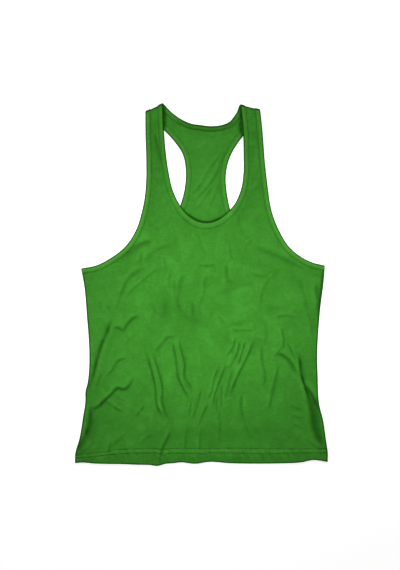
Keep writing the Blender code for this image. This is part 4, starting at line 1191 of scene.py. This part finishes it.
jersey = dict(
    deep=(0.039, 0.228, 0.018, 1), bright=(0.059, 0.318, 0.031, 1),     # the greens that are blended
    paintedShadeGreen=(0.006, 0.066, 0.001, 1), lit=(0.084, 0.400, 0.040, 1),      # painted shade in the hollows and painted highlight on the crests
    wale=0.85 * mm, course=0.75 * mm, slant=0.5, loopLow=0.7, loopSwing=0.3,
    # scale, detail and roughness of each kind of unevenness, and how it is drawn out
    noise=dict(
        fuzz=(2600, 1.0, 0.5), crumple=(85, 3.0, 0.55), streaks=(110, 2.0, 0.5, (1.0, 0.4, 1.0)),
        patches=(17, 3.0, 0.6), mottle=(38, 3.0, 0.6), slubs=(330, 2.0, 0.6, (0.22, 1.0, 1.0)),
        melange=(420, 2.0, 0.5),
    ),
    relief=dict(knit=0.10, fuzz=0.04, crumple=0.55, streaks=0.6),       # heights in millimetres
    blend=dict(patches=1.2, streaks=0.6, melange=0.9, knit=0.25, mottle=0.9, slubs=0.9),
    # the wrinkle lines are painted shade: darker lines in the colour where faint wrinkles would be shaded
    paintedWrinkleSharp=16, paintedWrinkleShade=0.5, roughness=0.86, roughnessSpread=0.10,
    sheen=0.07, sheenRoughness=0.45, sheenTint=(0.45, 0.85, 0.35, 1), specular=0.05,
)


def knitFinish(name, look, alongStrip=False):
    # single jersey: wales of V-shaped loops, with soft patches of colour and fine melange, painted shade
    # along faint wrinkle lines, and the dark attribute's painted shade and painted highlight
    finish = Finish(name, {"Specular IOR Level": look["specular"], "Sheen Weight": look["sheen"],
                           "Sheen Roughness": look["sheenRoughness"], "Sheen Tint": look["sheenTint"]})
    cut = finish.node("ShaderNodeUVMap", dict(uv_map="cut"))
    u = finish.value("ShaderNodeSeparateXYZ", inputs=[cut], output=1 if alongStrip else 0)
    v = finish.value("ShaderNodeSeparateXYZ", inputs=[cut], output=0 if alongStrip else 1)
    place = finish.node("ShaderNodeTexCoord", output=3)
    fields = {kind: finish.noise(place, *row) for kind, row in look["noise"].items()}
    fromMiddle = finish.maths("ABSOLUTE", finish.maths("FRACT", u / look["wale"]) - 0.5) * 2
    slant = v / look["course"] + fromMiddle * look["slant"]
    loops = finish.maths("SINE", slant * 2 * math.pi)
    fields["knit"] = (1 - fromMiddle * fromMiddle) * (loops * look["loopSwing"] + look["loopLow"])
    height = sum(fields[kind] * share for kind, share in look["relief"].items())
    bump = {"Strength": 1.0, "Distance": mm, "Height": height}
    finish.feed("Normal", finish.node("ShaderNodeBump", {}, bump))

    # painted shade along thin wrinkle lines
    paintedWrinkleShade = 1 - finish.maths("ABSOLUTE", fields["mottle"] - 0.5) * look["paintedWrinkleSharp"]
    paintedWrinkleShade = finish.maths("MAXIMUM", paintedWrinkleShade, 0.0) * fields["patches"]
    blend = sum((fields[kind] - 0.5) * share for kind, share in look["blend"].items()) + 0.5
    blend = finish.maths("MAXIMUM", blend - paintedWrinkleShade * look["paintedWrinkleShade"], 0.0)
    green = finish.mix(finish.maths("MINIMUM", blend, 1.0), look["deep"], look["bright"])
    # painted shade, and painted highlight where the dark attribute is negative, laid over the green
    dark = finish.value("ShaderNodeAttribute", dict(attribute_name="dark"), output=2)
    shaded = finish.mix(finish.maths("MAXIMUM", dark, 0.0), green, look["paintedShadeGreen"])
    finish.feed("Base Color", finish.mix(finish.maths("MAXIMUM", 0 - dark, 0.0), shaded, look["lit"]))
    spread = look["roughnessSpread"]
    finish.feed("Roughness", fields["melange"] * spread + (look["roughness"] - spread / 2))
    return finish.material


threadLook = dict(
    dark=(0.020, 0.110, 0.008, 1), light=(0.038, 0.190, 0.018, 1), twist=(1500, 1.0, 0.5),
    roughness=0.6, roughnessSpread=0.2, sheen=0.2,
)


def threadFinish(name, look):
    finish = Finish(name, {"Sheen Weight": look["sheen"]})
    twist = finish.noise(finish.node("ShaderNodeTexCoord", output=3), *look["twist"])
    finish.feed("Base Color", finish.mix(twist, look["dark"], look["light"]))
    spread = look["roughnessSpread"]
    finish.feed("Roughness", twist * spread + (look["roughness"] - spread / 2))
    return finish.material


panelFinish = knitFinish("jersey", jersey)
# the bindings' greens are a lighter copy of the panels' greens: painted light for their raised, rounded bands
bindingLook = dict(jersey, deep=(0.048, 0.254, 0.022, 1), bright=(0.066, 0.328, 0.033, 1))
bindingLook["relief"] = dict(jersey["relief"], crumple=0.3)
bindingFinish = knitFinish("jerseyBinding", bindingLook, alongStrip=True)
threadMaterial = threadFinish("sewingThread", threadLook)
print("finishes made")

# Each piece's node in model.glb, and its sizes laid flat
panels = dict(
    frontPanel=dict(piece=frontPanel, node="front_panel", flat=(0.505, 0.745), area=0.246),
    backPanel=dict(piece=backPanel, node="back_panel", flat=(0.505, 0.745), area=0.243),
)
strips = dict(
    neckBinding=dict(node="neck_binding", width=0.0215, length=0.735),
    armholeBindingRight=dict(node="armhole_binding_right", width=0.0215, length=0.819),
    armholeBindingLeft=dict(node="armhole_binding_left", width=0.0215, length=0.843),
)

# Floor, light and camera
stage = dict(size=9.0, below=0.4 * mm, colour=(0.92, 0.92, 0.92, 1), roughness=0.9, glow=0.62)
light = dict(
    world=0.20, key=30.0, keyAt=(-0.35, 1.75, 1.9), keyTo=(0, 0.02, 0), keySize=0.9,
    spotAt=(0.0, 0.10, 2.45), spotSize=0.22, spotBlend=1.0,
    # power, angle and aim of each spot: one over the whole top and two over its lower half
    spots=((151.0, 19.9, (0, -0.03, 0)), (36.0, 9.8, (-0.12, -0.11, 0)), (36.0, 9.8, (0.12, -0.11, 0))),
)
view = dict(centre=(-2.7 * mm, -0.4 * mm), frame=1.1362, lens=85.0, sensor=36.0, level=4 * mm)

bpy.ops.object.select_all(action="DESELECT")
bpy.ops.mesh.primitive_plane_add(size=stage["size"], location=(0, 0, -stage["below"]))
floor = bpy.context.object
floor.name = "floor"
floorFinish = Finish("paleFloor", {"Base Color": stage["colour"], "Roughness": stage["roughness"],
                                   "Emission Color": (1, 1, 1, 1), "Emission Strength": stage["glow"]})
floor.data.materials.append(floorFinish.material)

world = bpy.data.worlds.new("studio")
world.use_nodes = True
world.node_tree.nodes["Background"].inputs["Color"].default_value = (1, 1, 1, 1)
world.node_tree.nodes["Background"].inputs["Strength"].default_value = light["world"]
bpy.context.scene.world = world


def addLight(kind, place, power, target):
    bpy.ops.object.light_add(type=kind, location=place)
    lamp = bpy.context.object
    lamp.data.energy = power
    lamp.rotation_euler = (Vector(target) - lamp.location).to_track_quat("-Z", "Y").to_euler()
    return lamp.data


addLight("AREA", light["keyAt"], light["key"], light["keyTo"]).size = light["keySize"]
for power, angle, target in light["spots"]:
    spot = addLight("SPOT", light["spotAt"], power, target)
    spot.shadow_soft_size, spot.spot_blend = light["spotSize"], light["spotBlend"]
    spot.spot_size = math.radians(angle)

distance = view["lens"] * view["frame"] / view["sensor"]
bpy.ops.object.camera_add(location=(*view["centre"], distance + view["level"]), rotation=(0, 0, 0))
camera = bpy.context.object
camera.data.lens, camera.data.sensor_width = view["lens"], view["sensor"]
bpy.context.scene.camera = camera
bpy.context.scene.view_settings.view_transform = "Standard"
print("floor, lights and camera set")

made = [(row["piece"], row["node"], "jersey", panelFinish) for row in panels.values()]
made += [(bindings[name], row["node"], "binding", bindingFinish) for name, row in strips.items()]
made += [(piece, None, "binding", threadMaterial) for piece in threads]
for piece, node, slot, finish in made:
    piece.data.materials.append(finish)
    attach(piece, "root")
    if node:
        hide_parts(node)
